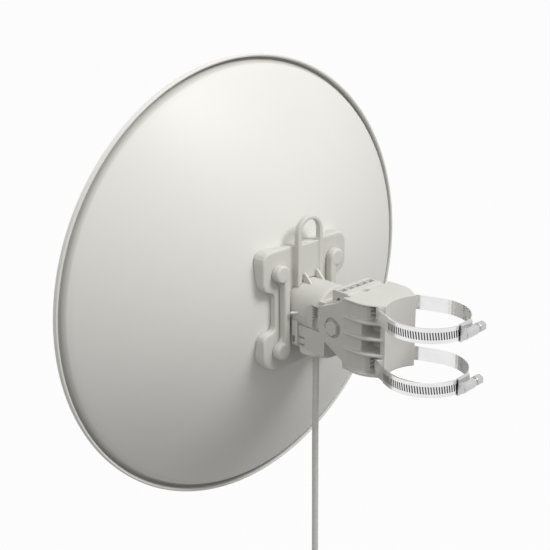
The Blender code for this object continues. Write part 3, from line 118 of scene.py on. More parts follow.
def cable_line(per_turn=48):
    top = RUN_TOP
    low = -COIL_DROP + 2 * CABLE_R
    line = [(sway_at(i / 60), CABLE_Y, top + (low - top) * i / 60) for i in range(61)]
    line.append((0.0, CABLE_Y, -COIL_DROP + CABLE_R))
    for i in range(COIL_TURNS * per_turn + 1):
        turn = 2 * math.pi * i / per_turn
        line.append((COIL_PITCH * i / per_turn, CABLE_Y - COIL_R + COIL_R * math.cos(turn),
                     -COIL_DROP - COIL_R * math.sin(turn)))
    side = COIL_PITCH * COIL_TURNS
    low = -COIL_DROP - 2 * CABLE_R
    line += [(side, CABLE_Y, low + (TAIL_END - low) * i / 8) for i in range(9)]
    return line


def line_length(line):
    return sum((Vector(b) - Vector(a)).length for a, b in zip(line, line[1:]))


route = cable_line()
print("cable", len(route), "points,", round(1000 * line_length(route)), "mm")

# %% [markdown]
# ## Materials
#
# Every finish is made of shader nodes that work in the object's own coordinates, so the grain
# stays on the part when it moves. One helper starts a material and returns short-cuts for
# adding nodes and links; each finish then reads as a short recipe.

# %% A helper for building finishes
def colour_sockets(sockets):
    """A mix node has sockets for numbers, vectors and colours; these are the colour ones."""
    return [socket for socket in sockets if socket.type == "RGBA"]


class Finish:
    """A material with a Principled shader, and short calls to add nodes and to link them."""

    def __init__(self, name, colour, roughness, metallic=0.0, gloss=0.5):
        self.material = bpy.data.materials.new(name)
        self.material.use_nodes = True
        self.tree = self.material.node_tree
        self.shader = self.tree.nodes["Principled BSDF"]
        self.shader.inputs["Base Color"].default_value = (*colour, 1.0)
        self.shader.inputs["Roughness"].default_value = roughness
        self.shader.inputs["Metallic"].default_value = metallic
        self.shader.inputs["Specular IOR Level"].default_value = gloss
        self.colour = colour
        self.place = self.add("ShaderNodeTexCoord").outputs["Object"]

    def add(self, kind, **settings):
        node = self.tree.nodes.new(kind)
        for key, value in settings.items():
            if key in node.inputs:
                node.inputs[key].default_value = value
            else:
                setattr(node, key, value)
        return node

    def link(self, source, target):
        self.tree.links.new(source, target)

    def noise(self, scale, detail=3.0, rough=0.5, stretch=(1.0, 1.0, 1.0)):
        shape = self.add("ShaderNodeMapping")
        shape.inputs["Scale"].default_value = stretch
        self.link(self.place, shape.inputs["Vector"])
        grain = self.add("ShaderNodeTexNoise", Scale=scale, Detail=detail, Roughness=rough)
        self.link(shape.outputs["Vector"], grain.inputs["Vector"])
        return grain.outputs["Fac"]

    def ramp(self, value, low, high, from_low=0.3, from_high=0.7):
        span = self.add("ShaderNodeMapRange")
        span.inputs["From Min"].default_value = from_low
        span.inputs["From Max"].default_value = from_high
        span.inputs["To Min"].default_value = low
        span.inputs["To Max"].default_value = high
        self.link(value, span.inputs["Value"])
        return span.outputs["Result"]

    def tint(self, value, low, high):
        """Colour between two shades of the base colour, steered by a value from 0 to 1."""
        mix = self.add("ShaderNodeMix", data_type="RGBA")
        for socket, shade in zip(colour_sockets(mix.inputs), (low, high)):
            socket.default_value = (*[min(1.0, c * shade) for c in self.colour], 1.0)
        self.link(value, mix.inputs["Factor"])
        return colour_sockets(mix.outputs)[0]

    def darker(self, first, second):
        """The darker of two colours, channel by channel."""
        mix = self.add("ShaderNodeMix", data_type="RGBA", blend_type="DARKEN", Factor=1.0)
        for source, socket in zip((first, second), colour_sockets(mix.inputs)):
            self.link(source, socket)
        return colour_sockets(mix.outputs)[0]

    def bump(self, height, strength, distance):
        relief = self.add("ShaderNodeBump", Strength=strength, Distance=distance)
        self.link(height, relief.inputs["Height"])
        return relief

    def to(self, source, socket):
        self.link(source, self.shader.inputs[socket])


print("finish helper ready")

# %% [markdown]
# ## Powder-coated dish
#
# The dish is sprayed metal. Powder paint flows as it bakes, so it keeps a very low, soft ripple
# and nearly no grain. Two slow noises do it: one for the ripple, one for the faint change of
# gloss between areas. The groove inside the rim gets little light, so the paint carries painted
# shade there: the distance from the dish's axis steers it.

# %% Powder coat
# painted shade in the rim's groove: where it starts, where it ends, and how dark it is
GROOVE_INNER = (0.2010, 0.2055)
GROOVE_OUTER = (0.2066, 0.2074)
GROOVE_SHADE = 0.48


def powder_coat():
    coat = Finish("powder_coat", (0.75, 0.742, 0.70), 0.42, gloss=0.30)
    slow = coat.noise(7.0, 2.0)
    ripple = coat.noise(620.0, 2.0)
    clean = coat.tint(coat.ramp(slow, 0.0, 1.0), 0.985, 1.01)
    flat = coat.add("ShaderNodeMapping")
    flat.inputs["Scale"].default_value = (1.0, 0.0, 1.0)
    coat.link(coat.place, flat.inputs["Vector"])
    reach = coat.add("ShaderNodeVectorMath", operation="LENGTH")
    coat.link(flat.outputs["Vector"], reach.inputs[0])
    inner = coat.ramp(reach.outputs["Value"], 0.0, 1.0, *GROOVE_INNER)
    outer = coat.ramp(reach.outputs["Value"], 1.0, 0.0, *GROOVE_OUTER)
    groove = coat.add("ShaderNodeMath", operation="MULTIPLY")
    coat.link(inner, groove.inputs[0])
    coat.link(outer, groove.inputs[1])
    # painted shade: the base colour is darkened in the groove's band
    painted_groove_shade = coat.tint(groove.outputs["Value"], 1.0, GROOVE_SHADE)
    coat.to(coat.darker(clean, painted_groove_shade), "Base Color")
    coat.to(coat.ramp(slow, 0.40, 0.47), "Roughness")
    coat.to(coat.bump(ripple, 0.25, 0.00003).outputs["Normal"], "Normal")
    return coat.material


shell_paint = powder_coat()
print("made", shell_paint.name)

# %% [markdown]
# ## Moulded grey plastic
#
# The housing, plate and bracket are injection moulded. The mould is spark-eroded, which leaves
# a fine even grain and a dull sheen, so the bump is small and close and the colour barely moves.

# %% Moulded plastic
def moulded_plastic(name, colour, roughness):
    plastic = Finish(name, colour, roughness, gloss=0.28)
    grain = plastic.noise(2600.0, 2.0, 0.6)
    slow = plastic.noise(38.0, 3.0)
    plastic.to(plastic.tint(plastic.ramp(slow, 0.0, 1.0), 0.975, 1.015), "Base Color")
    plastic.to(plastic.ramp(slow, roughness - 0.04, roughness + 0.05), "Roughness")
    plastic.to(plastic.bump(grain, 0.35, 0.00004).outputs["Normal"], "Normal")
    return plastic.material


housing_plastic = moulded_plastic("housing_plastic", (0.64, 0.63, 0.585), 0.50)
bracket_plastic = moulded_plastic("bracket_plastic", (0.61, 0.60, 0.56), 0.52)
feed_plastic = moulded_plastic("feed_plastic", (0.78, 0.775, 0.74), 0.42)
print("made", housing_plastic.name, bracket_plastic.name, feed_plastic.name)

# %% [markdown]
# ## Stainless steel
#
# The clamps are bright rolled strip. Rolling leaves hair-fine lines along the strip, so the
# noise is stretched: close together up and down, long the other way. The screws are turned and
# not rolled, so theirs is even. The folded housings get a darker steel of their own, and the
# slots a near-black steel that is painted shade.

# %% Rolled stainless strip
def rolled_steel(name, colour, roughness, stretch):
    steel = Finish(name, colour, roughness, 1.0)
    lines = steel.noise(900.0, 3.0, 0.6, stretch)
    cloud = steel.noise(60.0, 3.0)
    steel.to(steel.tint(steel.ramp(cloud, 0.0, 1.0), 0.95, 1.03), "Base Color")
    steel.to(steel.ramp(lines, roughness - 0.05, roughness + 0.07), "Roughness")
    steel.to(steel.bump(lines, 0.12, 0.00002).outputs["Normal"], "Normal")
    return steel.material


ALONG_STRIP = (0.05, 0.05, 2.0)
EVEN = (1.0, 1.0, 1.0)
band_steel = rolled_steel("band_steel", (0.86, 0.86, 0.86), 0.22, ALONG_STRIP)
screw_steel = rolled_steel("screw_steel", (0.56, 0.56, 0.555), 0.28, EVEN)
buckle_steel = rolled_steel("buckle_steel", (0.60, 0.60, 0.60), 0.22, ALONG_STRIP)
# painted shade: near-black steel for the slot walls and the band layer under them
painted_slot_shade = rolled_steel("painted_slot_shade", (0.16, 0.16, 0.165), 0.50, ALONG_STRIP)
print("made", band_steel.name, screw_steel.name, buckle_steel.name, painted_slot_shade.name)

# %% [markdown]
# ## Rubber, cable, plug, board and tie
#
# The small pieces keep the same helper. Rubber is dull, cable sheath has a soft sheen, the plug
# is clear plastic, here a smooth pale finish, and the tie is black nylon.

# %% Small finishes
def plain_finish(name, colour, roughness, scale, strength):
    made = Finish(name, colour, roughness)
    grain = made.noise(scale, 3.0)
    made.to(made.tint(made.ramp(grain, 0.0, 1.0), 0.94, 1.05), "Base Color")
    made.to(made.ramp(grain, roughness - 0.05, roughness + 0.06), "Roughness")
    made.to(made.bump(grain, strength, 0.00004).outputs["Normal"], "Normal")
    return made.material


gland_rubber = plain_finish("gland_rubber_finish", (0.20, 0.20, 0.195), 0.68, 700.0, 0.4)
sheath_finish = plain_finish("sheath_finish", (0.66, 0.655, 0.62), 0.46, 260.0, 0.2)
tie_finish = plain_finish("tie_finish", (0.03, 0.03, 0.03), 0.42, 500.0, 0.2)
board_finish = plain_finish("board_finish", (0.03, 0.16, 0.06), 0.42, 300.0, 0.2)
plug_finish = plain_finish("plug_finish", (0.66, 0.70, 0.72), 0.14, 200.0, 0.1)
print("made five small finishes")

# %% [markdown]
# ## Paint the CAD pieces
#
# Each CAD node gets its finish here, also where a finer piece replaces it further down. Only the
# three cable stretches aren't in the table, because the cable is made new. It reads as a parts
# list: a piece on the left, what it is made of on the right.

# %% Paint the CAD pieces
PAINT = {
    "reflector": shell_paint,
    "back_plate": housing_plastic,
    "left_side_rail": housing_plastic,
    "right_side_rail": housing_plastic,
    "rear_housing": housing_plastic,
    "cable_door": housing_plastic,
    "cable_gland": gland_rubber,
    "network_socket": screw_steel,
    "radio_board": board_finish,
    "feed_tube": feed_plastic,
    "feed_cone": feed_plastic,
    "sub_reflector": screw_steel,
    "pole_bracket": bracket_plastic,
    "pivot_bolt": bracket_plastic,
    "pivot_washer": screw_steel,
    "pivot_nut": screw_steel,
    "socket_plug": plug_finish,
    "cable_boot": sheath_finish,
    "cable_tie": tie_finish,
    "end_plug": plug_finish,
}
for number in range(1, 5):
    PAINT["plate_screw_%d" % number] = screw_steel
for level in ("upper", "lower"):
    PAINT[level + "_clamp_band"] = band_steel
    PAINT[level + "_clamp_housing"] = band_steel
    PAINT[level + "_clamp_screw"] = screw_steel
for name, paint in PAINT.items():
    for slot in nodes[name].material_slots:
        slot.material = paint
print("painted", len(PAINT), "pieces")

# %% [markdown]
# ## The reflector, turned fine
#
# The CAD dish is faceted, because it also has to collide. On the real one the metal is spun over
# a form, so every section is a smooth circle. A turned profile gives just that: half the section
# is written once, in the plane of the axis, and copied round in small steps. The rim is what the
# eye looks for: the bowl drops into a groove, and a rolled lip stands up outside it and
# keeps its own shadow.

# %% Turn the reflector from its section
VERTEX_Y = -0.1436
DISH_R = 0.2100
DISH_F = 0.1375
DISH_T = 0.0012
FEED_HOLE_R = 0.0165
BOWL_END = 0.2008
RIM_BAND = -0.2211
TURN_STEPS = 200
BOWL_STEPS = 36


def bowl_back(radius):
    return VERTEX_Y - radius * radius / (4 * DISH_F)


def bowl_front(radius):
    slope = radius / (2 * DISH_F)
    return bowl_back(radius) - DISH_T * math.sqrt(1 + slope * slope)


def rim_section():
    """Groove, lip and front edge: radius inside the rim's edge, and height over the flat band."""
    groove = [(8.6, 3.4), (8.0, 2.3), (7.2, 0.7), (6.4, -0.9), (5.6, -2.2), (4.8, -2.9),
              (4.1, -3.1), (3.5, -2.8), (3.0, -1.8), (2.75, 0.0)]
    lip = [(2.4, 0.85), (1.9, 1.22), (1.3, 1.30), (0.7, 1.12), (0.25, 0.65), (0.0, -0.1)]
    edge = [(0.0, -2.4), (0.25, -3.2), (0.75, -3.7), (1.3, -3.8), (1.9, -3.45)]
    bead = [(3.0, -3.8), (4.2, -3.8), (5.5, -3.05), (6.6, -1.6), (7.5, -0.1), (8.4, 1.5)]
    return [(DISH_R - r / 1000, RIM_BAND + h / 1000) for r, h in groove + lip + edge + bead]


def turn_section(name, section, steps, centre_z=0.0):
    """A closed section of (radius, y), turned about the Y axis."""
    bm = bmesh.new()
    rings = []
    for i in range(steps):
        angle = 2 * math.pi * i / steps
        rings.append([bm.verts.new((r * math.sin(angle), y, centre_z + r * math.cos(angle)))
                      for r, y in section])
    count = len(section)
    for ring, after in zip(rings, rings[1:] + rings[:1]):
        for k in range(count):
            n = (k + 1) % count
            bm.faces.new((ring[k], ring[n], after[n], after[k]))
    bmesh.ops.recalc_face_normals(bm, faces=bm.faces)
    mesh = bpy.data.meshes.new(name)
    bm.to_mesh(mesh)
    bm.free()
    mesh.shade_smooth()
    mesh.set_sharp_from_angle(angle=math.radians(50.0))
    made = bpy.data.objects.new(name, mesh)
    bpy.context.scene.collection.objects.link(made)
    return made


radii = [FEED_HOLE_R + (BOWL_END - FEED_HOLE_R) * i / BOWL_STEPS for i in range(BOWL_STEPS + 1)]
section = [(r, bowl_back(r)) for r in radii] + rim_section()
section += [(r, bowl_front(r)) for r in reversed(radii[:-1])]
dish = turn_section("spun_reflector", section, TURN_STEPS)
dish.data.materials.append(shell_paint)
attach(dish, "dish")
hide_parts("reflector")
print("reflector:", len(dish.data.polygons), "faces")

# %% [markdown]
# ## Soft edges
#
# No moulded or pressed edge is razor sharp: each has a small round that catches the light. A
# bevel modifier adds it after the fact, and leaves the fitted solid underneath untouched. It
# only takes edges that turn by more than 30 degrees, so the round faces stay as they are.

# %% Round the edges of the moulded pieces
EDGE_ROUND = {"pivot_bolt": 0.00045, "cable_gland": 0.00030, "socket_plug": 0.00025,
              "end_plug": 0.00025, "cable_boot": 0.00025, "feed_tube": 0.00030}


def soften(piece, radius):
    bevel = piece.modifiers.new("soft_edges", "BEVEL")
    bevel.width = radius
    bevel.segments = 2
    bevel.limit_method = "ANGLE"
    bevel.angle_limit = math.radians(30.0)
    bevel.harden_normals = True


for name, radius in EDGE_ROUND.items():
    soften(nodes[name], radius)
print("softened", len(EDGE_ROUND), "pieces")

# %% [markdown]
# ## Moulded forms
#
# A moulded piece has a small round in every corner, inside and outside, because plastic can't
# fill a sharp one. A bevel only rounds the outside. A voxel remesh of a copy, followed by a
# little smoothing, rounds both, as wax would. Extra pockets and hollows are cut before it, so
# that they get the same soft corners.

# %% Tools for cutting and softening a copy
def slab(outline, axis, low, high):
    """An outline drawn in the plane square to an axis, drawn out from low to high along it."""
    order = {"X": (2, 0, 1), "Y": (0, 2, 1), "Z": (0, 1, 2)}[axis]
    bm = bmesh.new()
    ends = []
    for level in (low, high):
        ring = []
        for u, v in outline:
            spot = (u, v, level)
            ring.append(bm.verts.new([spot[k] for k in order]))
        ends.append(ring)
    count = len(outline)
    for i in range(count):
        n = (i + 1) % count
        bm.faces.new((ends[0][i], ends[0][n], ends[1][n], ends[1][i]))
    bm.faces.new(ends[0])
    bm.faces.new(ends[1])
    bmesh.ops.recalc_face_normals(bm, faces=bm.faces)
    mesh = bpy.data.meshes.new("cutter")
    bm.to_mesh(mesh)
    bm.free()
    made = bpy.data.objects.new("cutter", mesh)
    bpy.context.scene.collection.objects.link(made)
    return made


def box(x0, x1, y0, y1, z0, z1):
    return slab([(x0, y0), (x1, y0), (x1, y1), (x0, y1)], "Z", z0, z1)


def settle(piece):
    """Turn a piece's modifiers into its mesh."""
    graph = bpy.context.evaluated_depsgraph_get()
    mesh = bpy.data.meshes.new_from_object(piece.evaluated_get(graph))
    piece.modifiers.clear()
    piece.data = mesh


def copy_of(node, name):
    made = bpy.data.objects.new(name, nodes[node].data.copy())
    bpy.context.scene.collection.objects.link(made)
    return made


def carve(piece, cutters, operation="DIFFERENCE"):
    for cutter in cutters:
        step = piece.modifiers.new("carve", "BOOLEAN")
        step.object = cutter
        step.operation = operation
        step.solver = "EXACT"
    settle(piece)
    for cutter in cutters:
        bpy.data.objects.remove(cutter)


def wax(piece, voxel, rounds=2):
    """Round every corner of a piece by remeshing it and smoothing it a little."""
    grid = piece.modifiers.new("grid", "REMESH")
    grid.mode = "VOXEL"
    grid.voxel_size = voxel
    grid.use_smooth_shade = True
    calm = piece.modifiers.new("calm", "SMOOTH")
    calm.factor = 0.5
    calm.iterations = rounds
    settle(piece)
    piece.data.shade_smooth()


def dress(piece, *finishes):
    """Give a piece these finishes, and no others."""
    piece.data.materials.clear()
    for finish in finishes:
        piece.data.materials.append(finish)


print("cutting and softening tools ready")

# %% [markdown]
# ## Back plate and side rails
#
# These are moulded like the bracket, so they go through the same wax step. Each stays a piece of
# its own, because they are separate mouldings that are clipped and screwed together.

# %% Soften the plate and the rails
SOFT_COPIES = {
    "back_plate": ("moulded_plate", 0.00070, 4),
    "left_side_rail": ("left_rail", 0.00050, 3),
    "right_side_rail": ("right_rail", 0.00050, 3),
}
for node, (name, voxel, rounds) in SOFT_COPIES.items():
    piece = copy_of(node, name)
    wax(piece, voxel, rounds)
    dress(piece, housing_plastic)
    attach(piece, "dish")
    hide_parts(node)
    print(name, len(piece.data.polygons), "faces")

# %% [markdown]
# ## The radio housing
#
# On each side of the barrel a pocket makes room for the bracket's ear, and five small ridges
# stand in it. The hole beside the cable's frame goes deep. Both are cut again here, deeper
# than in the fitted solid, because their shadow is what the eye reads. These details are too
# small for the wax step, so the edges get a bevel instead.

# %% Deepen the housing's pockets
TILT_Y = -0.0795
CLEAR_OF_SIDE = 0.0300
POCKET_FLOOR = 0.0173
POCKET_WALL = TILT_Y - 0.0307
POCKET_LEN = 0.0105
POCKET_Z = (-0.0112, 0.0100)
RIDGE_COUNT = 5
RIDGE_TOP = 0.0078
RIDGE_PITCH = 0.0024
RIDGE_HALF = 0.0010
RIDGE_REACH = 0.0028
RIDGE_ROOT = 0.0004
RIDGE_X = (0.0170, 0.0218)
HOLE_FLOOR = 0.0168
HOLE_Y = (-0.1319, -0.1287)
HOLE_Z = (-0.0292, -0.0228)


def sided(side, near, far):
    """A span of X on the left (1) or on the right (-1), low end first."""
    return sorted((side * near, side * far))


housing = copy_of("rear_housing", "radio_housing")
pockets = []
ridges = []
for side in (-1, 1):
    span = sided(side, POCKET_FLOOR, CLEAR_OF_SIDE)
    pockets.append(box(*span, POCKET_WALL, POCKET_WALL + POCKET_LEN, *POCKET_Z))
    pockets.append(box(*sided(side, HOLE_FLOOR, CLEAR_OF_SIDE), *HOLE_Y, *HOLE_Z))
    for step in range(RIDGE_COUNT):
        z = RIDGE_TOP - RIDGE_PITCH * step
        root = POCKET_WALL - RIDGE_ROOT
        wedge = [(root, z - RIDGE_HALF), (POCKET_WALL + RIDGE_REACH, z), (root, z + RIDGE_HALF)]
        ridges.append(slab(wedge, "X", *sided(side, *RIDGE_X)))
carve(housing, pockets)
carve(housing, ridges, "UNION")
dress(housing, housing_plastic)
soften(housing, 0.00025)
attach(housing, "dish")
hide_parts("rear_housing")
print("housing:", len(housing.data.polygons), "faces")

# %% [markdown]
# ## The cable door
#
# The door is the lower cover, and slides down off the housing. Each side has two narrow latch
# slots. Boxes cut them right through the wall, so that they show the dark hollow behind.

# %% Cut the door's latch slots through
LATCH_FLOOR = 0.0196
LATCH_Y = (-0.1249, -0.1184)
LATCH_LOW = (-0.0236, -0.0301)
LATCH_H = 0.0014

door = copy_of("cable_door", "sliding_door")
slots = []
for side in (-1, 1):
    for z in LATCH_LOW:
        slots.append(box(*sided(side, LATCH_FLOOR, CLEAR_OF_SIDE), *LATCH_Y, z, z + LATCH_H))
carve(door, slots)
dress(door, housing_plastic)
soften(door, 0.00030)
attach(door, "door")
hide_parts("cable_door")
print("door:", len(door.data.polygons), "faces")

# %% [markdown]
# ## The tilt bracket
#
# The bracket's top strip has a row of square pockets that save plastic, and its flanks sink
# between thin ribs that start as small noses on the ear. The CAD has the ribs and the small
# pockets. Here the pockets get their full width, the flanks fall away from the noses, and the
# deep end bays get the three slots that the mould leaves behind the band.

# %% Mould the bracket
EAR_OUT = 0.0284
BRACKET_UP = 0.0315
BRACKET_LOW = -0.0330
RIB_T = 0.0024
RIBS = (-0.0138, 0.0003, 0.0144)
ROW_PITCH = 0.0082
ROW_Y = TILT_Y + 0.0009
ROW_HALF_X = 0.0034
ROW_HALF_Y = 0.0029
ROW_FLOOR = BRACKET_UP - 0.0046
GROOVE_FLOOR = BRACKET_UP - 0.0013
STRIP_H = 0.0006
STRIP_REAR = TILT_Y + 0.0105
LONE_X = (-0.0013, 0.0045)
ABOVE = 0.05
WIDE = 0.05
CLAMP_HEIGHTS = (0.0226, -0.0238)
END_SLOT_X = (0.0140, 0.0196)
END_SLOT_Y = (-0.0450, -0.0405)
END_SLOT_PITCH = 0.0036
END_SLOT_HALF = 0.0008
FLANK = ((0.0001, -0.0672), (-0.0012, -0.0640), (-0.0021, -0.0590), (-0.0030, -0.0530),
         (-0.0036, -0.0493))


def flank_cutter(side, low, high, start=0):
    path = [(EAR_OUT + dx, y) for dx, y in FLANK[start:]]
    path[0] = (EAR_OUT + 0.0001, path[0][1])
    outside = [(EAR_OUT + 0.0040, path[-1][1]), (EAR_OUT + 0.0040, path[0][1])]
    return slab([(side * x, y) for x, y in path + outside], "Z", low, high)


bracket = copy_of("pole_bracket", "moulded_bracket")
cutters = []
for i in range(-2, 3):
    x = i * ROW_PITCH
    cutters.append(box(x - ROW_HALF_X, x + ROW_HALF_X, ROW_Y - ROW_HALF_Y, ROW_Y + ROW_HALF_Y,
                       ROW_FLOOR, ABOVE))
# the lone pocket behind the row, and the groove behind the strip
cutters.append(box(*LONE_X, STRIP_REAR + 0.0004, STRIP_REAR + 0.0046, ROW_FLOOR, ABOVE))
cutters.append(box(-WIDE, WIDE, STRIP_REAR, STRIP_REAR + 0.0016, GROOVE_FLOOR, ABOVE))
top = BRACKET_UP - STRIP_H - 0.0016
bays = [(RIBS[0] + RIB_T / 2, RIBS[1] - RIB_T / 2, 0), (RIBS[1] + RIB_T / 2, RIBS[2] - RIB_T / 2, 0),
        (RIBS[2] + RIB_T / 2, top, 1), (BRACKET_LOW + RIB_T, RIBS[0] - RIB_T / 2, 1)]
for side in (-1, 1):
    cutters += [flank_cutter(side, low, high, start) for low, high, start in bays]
    for middle in CLAMP_HEIGHTS:
        for step in (-1, 0, 1):
            z = middle + END_SLOT_PITCH * step
            cutters.append(box(*sided(side, *END_SLOT_X), *END_SLOT_Y,
                               z - END_SLOT_HALF, z + END_SLOT_HALF))
carve(bracket, cutters)
wax(bracket, 0.0005)
dress(bracket, bracket_plastic)
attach(bracket, "bracket")
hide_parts("pole_bracket")
print("bracket:", len(bracket.data.polygons), "faces")

# %% [markdown]
# ## The hose clamps
#
# A worm clamp is a slotted steel band, a folded housing, and a screw whose thread runs in the
# slots. The band keeps its CAD shape, but the walls of its slots, and the layer that lies in the
# shade under them, get a darker steel: this is painted shade for the gap under the slots. The
# faces are found by their distance from the clamp's axis and by which way they look.

# %% Bands with dark slots
SADDLE_R = 0.0340
BAND_PLAY = 0.00015
BAND_T = 0.0007
CLAMPS = {"upper": (CLAMP_HEIGHTS[0], -23.6), "lower": (CLAMP_HEIGHTS[1], -33.0)}
BUCKLE_ANGLE = 94.0
UNDER_LAYER = SADDLE_R + BAND_PLAY + BAND_T


# Picks the faces that get painted shade: the slot walls, and the band layer in the gap under them.
def shade_slots(mesh, height, tail_angle):
    dark = 0
    for face in mesh.polygons:
        middle = face.center
        across = math.hypot(middle.x, middle.y)
        angle = math.degrees(math.atan2(middle.y, middle.x))
        outward = (face.normal.x * middle.x + face.normal.y * middle.y) / across
        covered = tail_angle + 1.0 < angle < BUCKLE_ANGLE
        under = outward > 0.8 and abs(across - UNDER_LAYER) < 0.00012
        wall = abs(outward) < 0.5 and abs(middle.z - height) < 0.0045 and across > UNDER_LAYER
        if covered and (under or wall):
            face.material_index = 1
            dark += 1
    return dark


for level, (height, tail_angle) in CLAMPS.items():
    band = copy_of(level + "_clamp_band", level + "_band")
    dress(band, band_steel, painted_slot_shade)
    dark = shade_slots(band.data, height, tail_angle)
    soften(band, 0.00012)
    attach(band, "bracket")
    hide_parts(level + "_clamp_band")
    print(level, "band:", dark, "dark faces")

# %% [markdown]
# ## Worm screws and their housings
#
# The screw is turned from bar: a thread inside the housing, a collar, and a hexagon head with a
# driver slot. It is written as one skin: for each place along the screw and each direction
# round it, a small function says how far out the metal stands. The thread is then only a
# radius that depends on both, and the hexagon only on the direction. The housing is the CAD's,
# with a bent tab added that closes the tunnel's end.

# %% Worm screws
WORM_R = 0.0032
WORM_CORE = 0.0026
WORM_PITCH = 0.00215
TUNNEL_HALF = 0.0073
COLLAR_R = 0.0037
HEAD_START = 0.0116
HEAD_END = 0.0191
HEAD_AF = 0.0078
COLLAR_LEN = 0.0012
HEAD_CHAMFER = 0.0011
RING_GAP = 0.0001
DRIVER_SLOT_HALF = 0.0006
DRIVER_SLOT_DEPTH = 0.0016
THREAD_START = -TUNNEL_HALF + 0.0008
THREAD_LEN = 0.0138
THREAD_STEPS = 110
TAB_START = -TUNNEL_HALF - 0.0001
TAB_T = 0.0007
TAB_Y = (-0.0033, 0.0031)
TAB_Z = (-0.0060, 0.0033)
WORM_AXIS = SADDLE_R + BAND_PLAY + 2 * BAND_T + 0.00025 + 0.0003 + 0.0001 + WORM_R


def worm_place(height):
    """From a space with X along the screw and Y straight out, to the clamp's own place."""
    angle = math.radians(BUCKLE_ANGLE)
    out = Vector((math.cos(angle), math.sin(angle), 0.0))
    way = Vector((-math.sin(angle), math.cos(angle), 0.0))
    turn = Matrix((way, out, way.cross(out))).transposed().to_4x4()
    return Matrix.Translation(out * WORM_AXIS + Vector((0, 0, height))) @ turn


def head_reach(angle):
    """Distance from the axis to a hexagon with rounded corners."""
    sector = (angle + math.pi / 6) % (math.pi / 3) - math.pi / 6
    return min(HEAD_AF / 2 / math.cos(sector), 0.535 * HEAD_AF)


def screw_reach(along, angle):
    if along < -TUNNEL_HALF or abs(along - TUNNEL_HALF) < 0.0001:
        return WORM_CORE - 0.0004
    if along < TUNNEL_HALF:
        turn = (along / WORM_PITCH - angle / (2 * math.pi)) % 1.0
        ridge = max(0.0, 1.0 - abs(turn - 0.5) / 0.30)
        return WORM_CORE + (WORM_R - WORM_CORE) * min(1.0, 1.6 * ridge)
    if along < HEAD_START - COLLAR_LEN:
        return WORM_R
    if along < HEAD_START:
        return COLLAR_R
    chamfer = max(0.0, along - (HEAD_END - HEAD_CHAMFER))
    return head_reach(angle) - 0.75 * chamfer


def worm_screw(name, height):
    collar = HEAD_START - COLLAR_LEN
    stops = [THREAD_START + THREAD_LEN * i / THREAD_STEPS for i in range(THREAD_STEPS + 1)]
    stops += [0.0075, 0.0100, collar - RING_GAP, collar + RING_GAP]
    stops += [HEAD_START - RING_GAP, HEAD_START + RING_GAP]
    stops += [HEAD_END - d for d in (0.0012, 0.0009, 0.0005, 0.0)]
    sides = 48
    bm = bmesh.new()
    rings = []
    for along in sorted(stops):
        ring = []
        for k in range(sides):
            angle = 2 * math.pi * k / sides
            reach = screw_reach(along, angle)
            ring.append(bm.verts.new((along, reach * math.cos(angle), reach * math.sin(angle))))
        rings.append(ring)
    for ring, after in zip(rings, rings[1:]):
        for k in range(sides):
            n = (k + 1) % sides
            bm.faces.new((ring[k], ring[n], after[n], after[k]))
    bm.faces.new(rings[0])
    bm.faces.new(rings[-1])
    bmesh.ops.recalc_face_normals(bm, faces=bm.faces)
    mesh = bpy.data.meshes.new(name)
    bm.to_mesh(mesh)
    bm.free()
    made = bpy.data.objects.new(name, mesh)
    bpy.context.scene.collection.objects.link(made)
    carve(made, [box(HEAD_END - DRIVER_SLOT_DEPTH, HEAD_END + 0.01, -0.01, 0.01,
                     -DRIVER_SLOT_HALF, DRIVER_SLOT_HALF)])
    made.data.transform(worm_place(height))
    made.data.shade_smooth()
    made.data.set_sharp_from_angle(angle=math.radians(35.0))
    return made


for level, (height, tail_angle) in CLAMPS.items():
    screw = worm_screw(level + "_worm_screw", height)
    dress(screw, screw_steel)
    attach(screw, level + "_screw")
    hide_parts(level + "_clamp_screw")
    shell = copy_of(level + "_clamp_housing", level + "_worm_housing")
    tab = box(TAB_START, TAB_START + TAB_T, *TAB_Y, *TAB_Z)
    tab.data.transform(worm_place(height))
    carve(shell, [tab], "UNION")
    dress(shell, buckle_steel)
    soften(shell, 0.00022)
    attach(shell, "bracket")
    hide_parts(level + "_clamp_housing")
    print(level, "screw", len(screw.data.polygons), "faces, housing", len(shell.data.polygons))

# %% [markdown]
# ## The cable
#
# The CAD has the cable in three plain stretches. Here one round tube follows the whole line, so
# no joint shows. A curve with a round bevel is the natural way to make it.

# %% One unbroken cable
def tube_along(name, line, radius, paint, resolution=5):
    data = bpy.data.curves.new(name, "CURVE")
    data.dimensions = "3D"
    data.bevel_depth = radius
    data.bevel_resolution = resolution
    data.use_fill_caps = True
    spline = data.splines.new("POLY")
    spline.points.add(len(line) - 1)
    for slot, point in zip(spline.points, line):
        slot.co = (*point, 1.0)
    made = bpy.data.objects.new(name, data)
    bpy.context.scene.collection.objects.link(made)
    data.materials.append(paint)
    return made


cable = tube_along("network_cable", route, CABLE_R, sheath_finish)
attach(cable, "dish")
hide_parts("cable_run", "cable_coil", "cable_tail")
print("cable declared,", round(1000 * line_length(route)), "mm")

# %% [markdown]
# ## Floor and light
#
# The photograph has a white studio ground. The floor is pale for the light that lands on the
# part, and nearly white to the camera, so it still keeps a soft shadow.

# %% Rays that see the white ground
def seen_directly(tree, path):
    """1 for camera, mirror and glass rays, which see the ground; 0 for the light that lands."""
    total = path.outputs["Is Camera Ray"]
    for kind in ("Is Glossy Ray", "Is Transmission Ray"):
        either = tree.nodes.new("ShaderNodeMath")
        either.operation = "MAXIMUM"
        tree.links.new(total, either.inputs[0])
        tree.links.new(path.outputs[kind], either.inputs[1])
        total = either.outputs[0]
    return total


print("camera, mirror and glass rays see the white ground")

# %% Floor
FLOOR_DROP = 0.03
PAPER_GREY = 0.25
WHITE_SHARE = 0.97


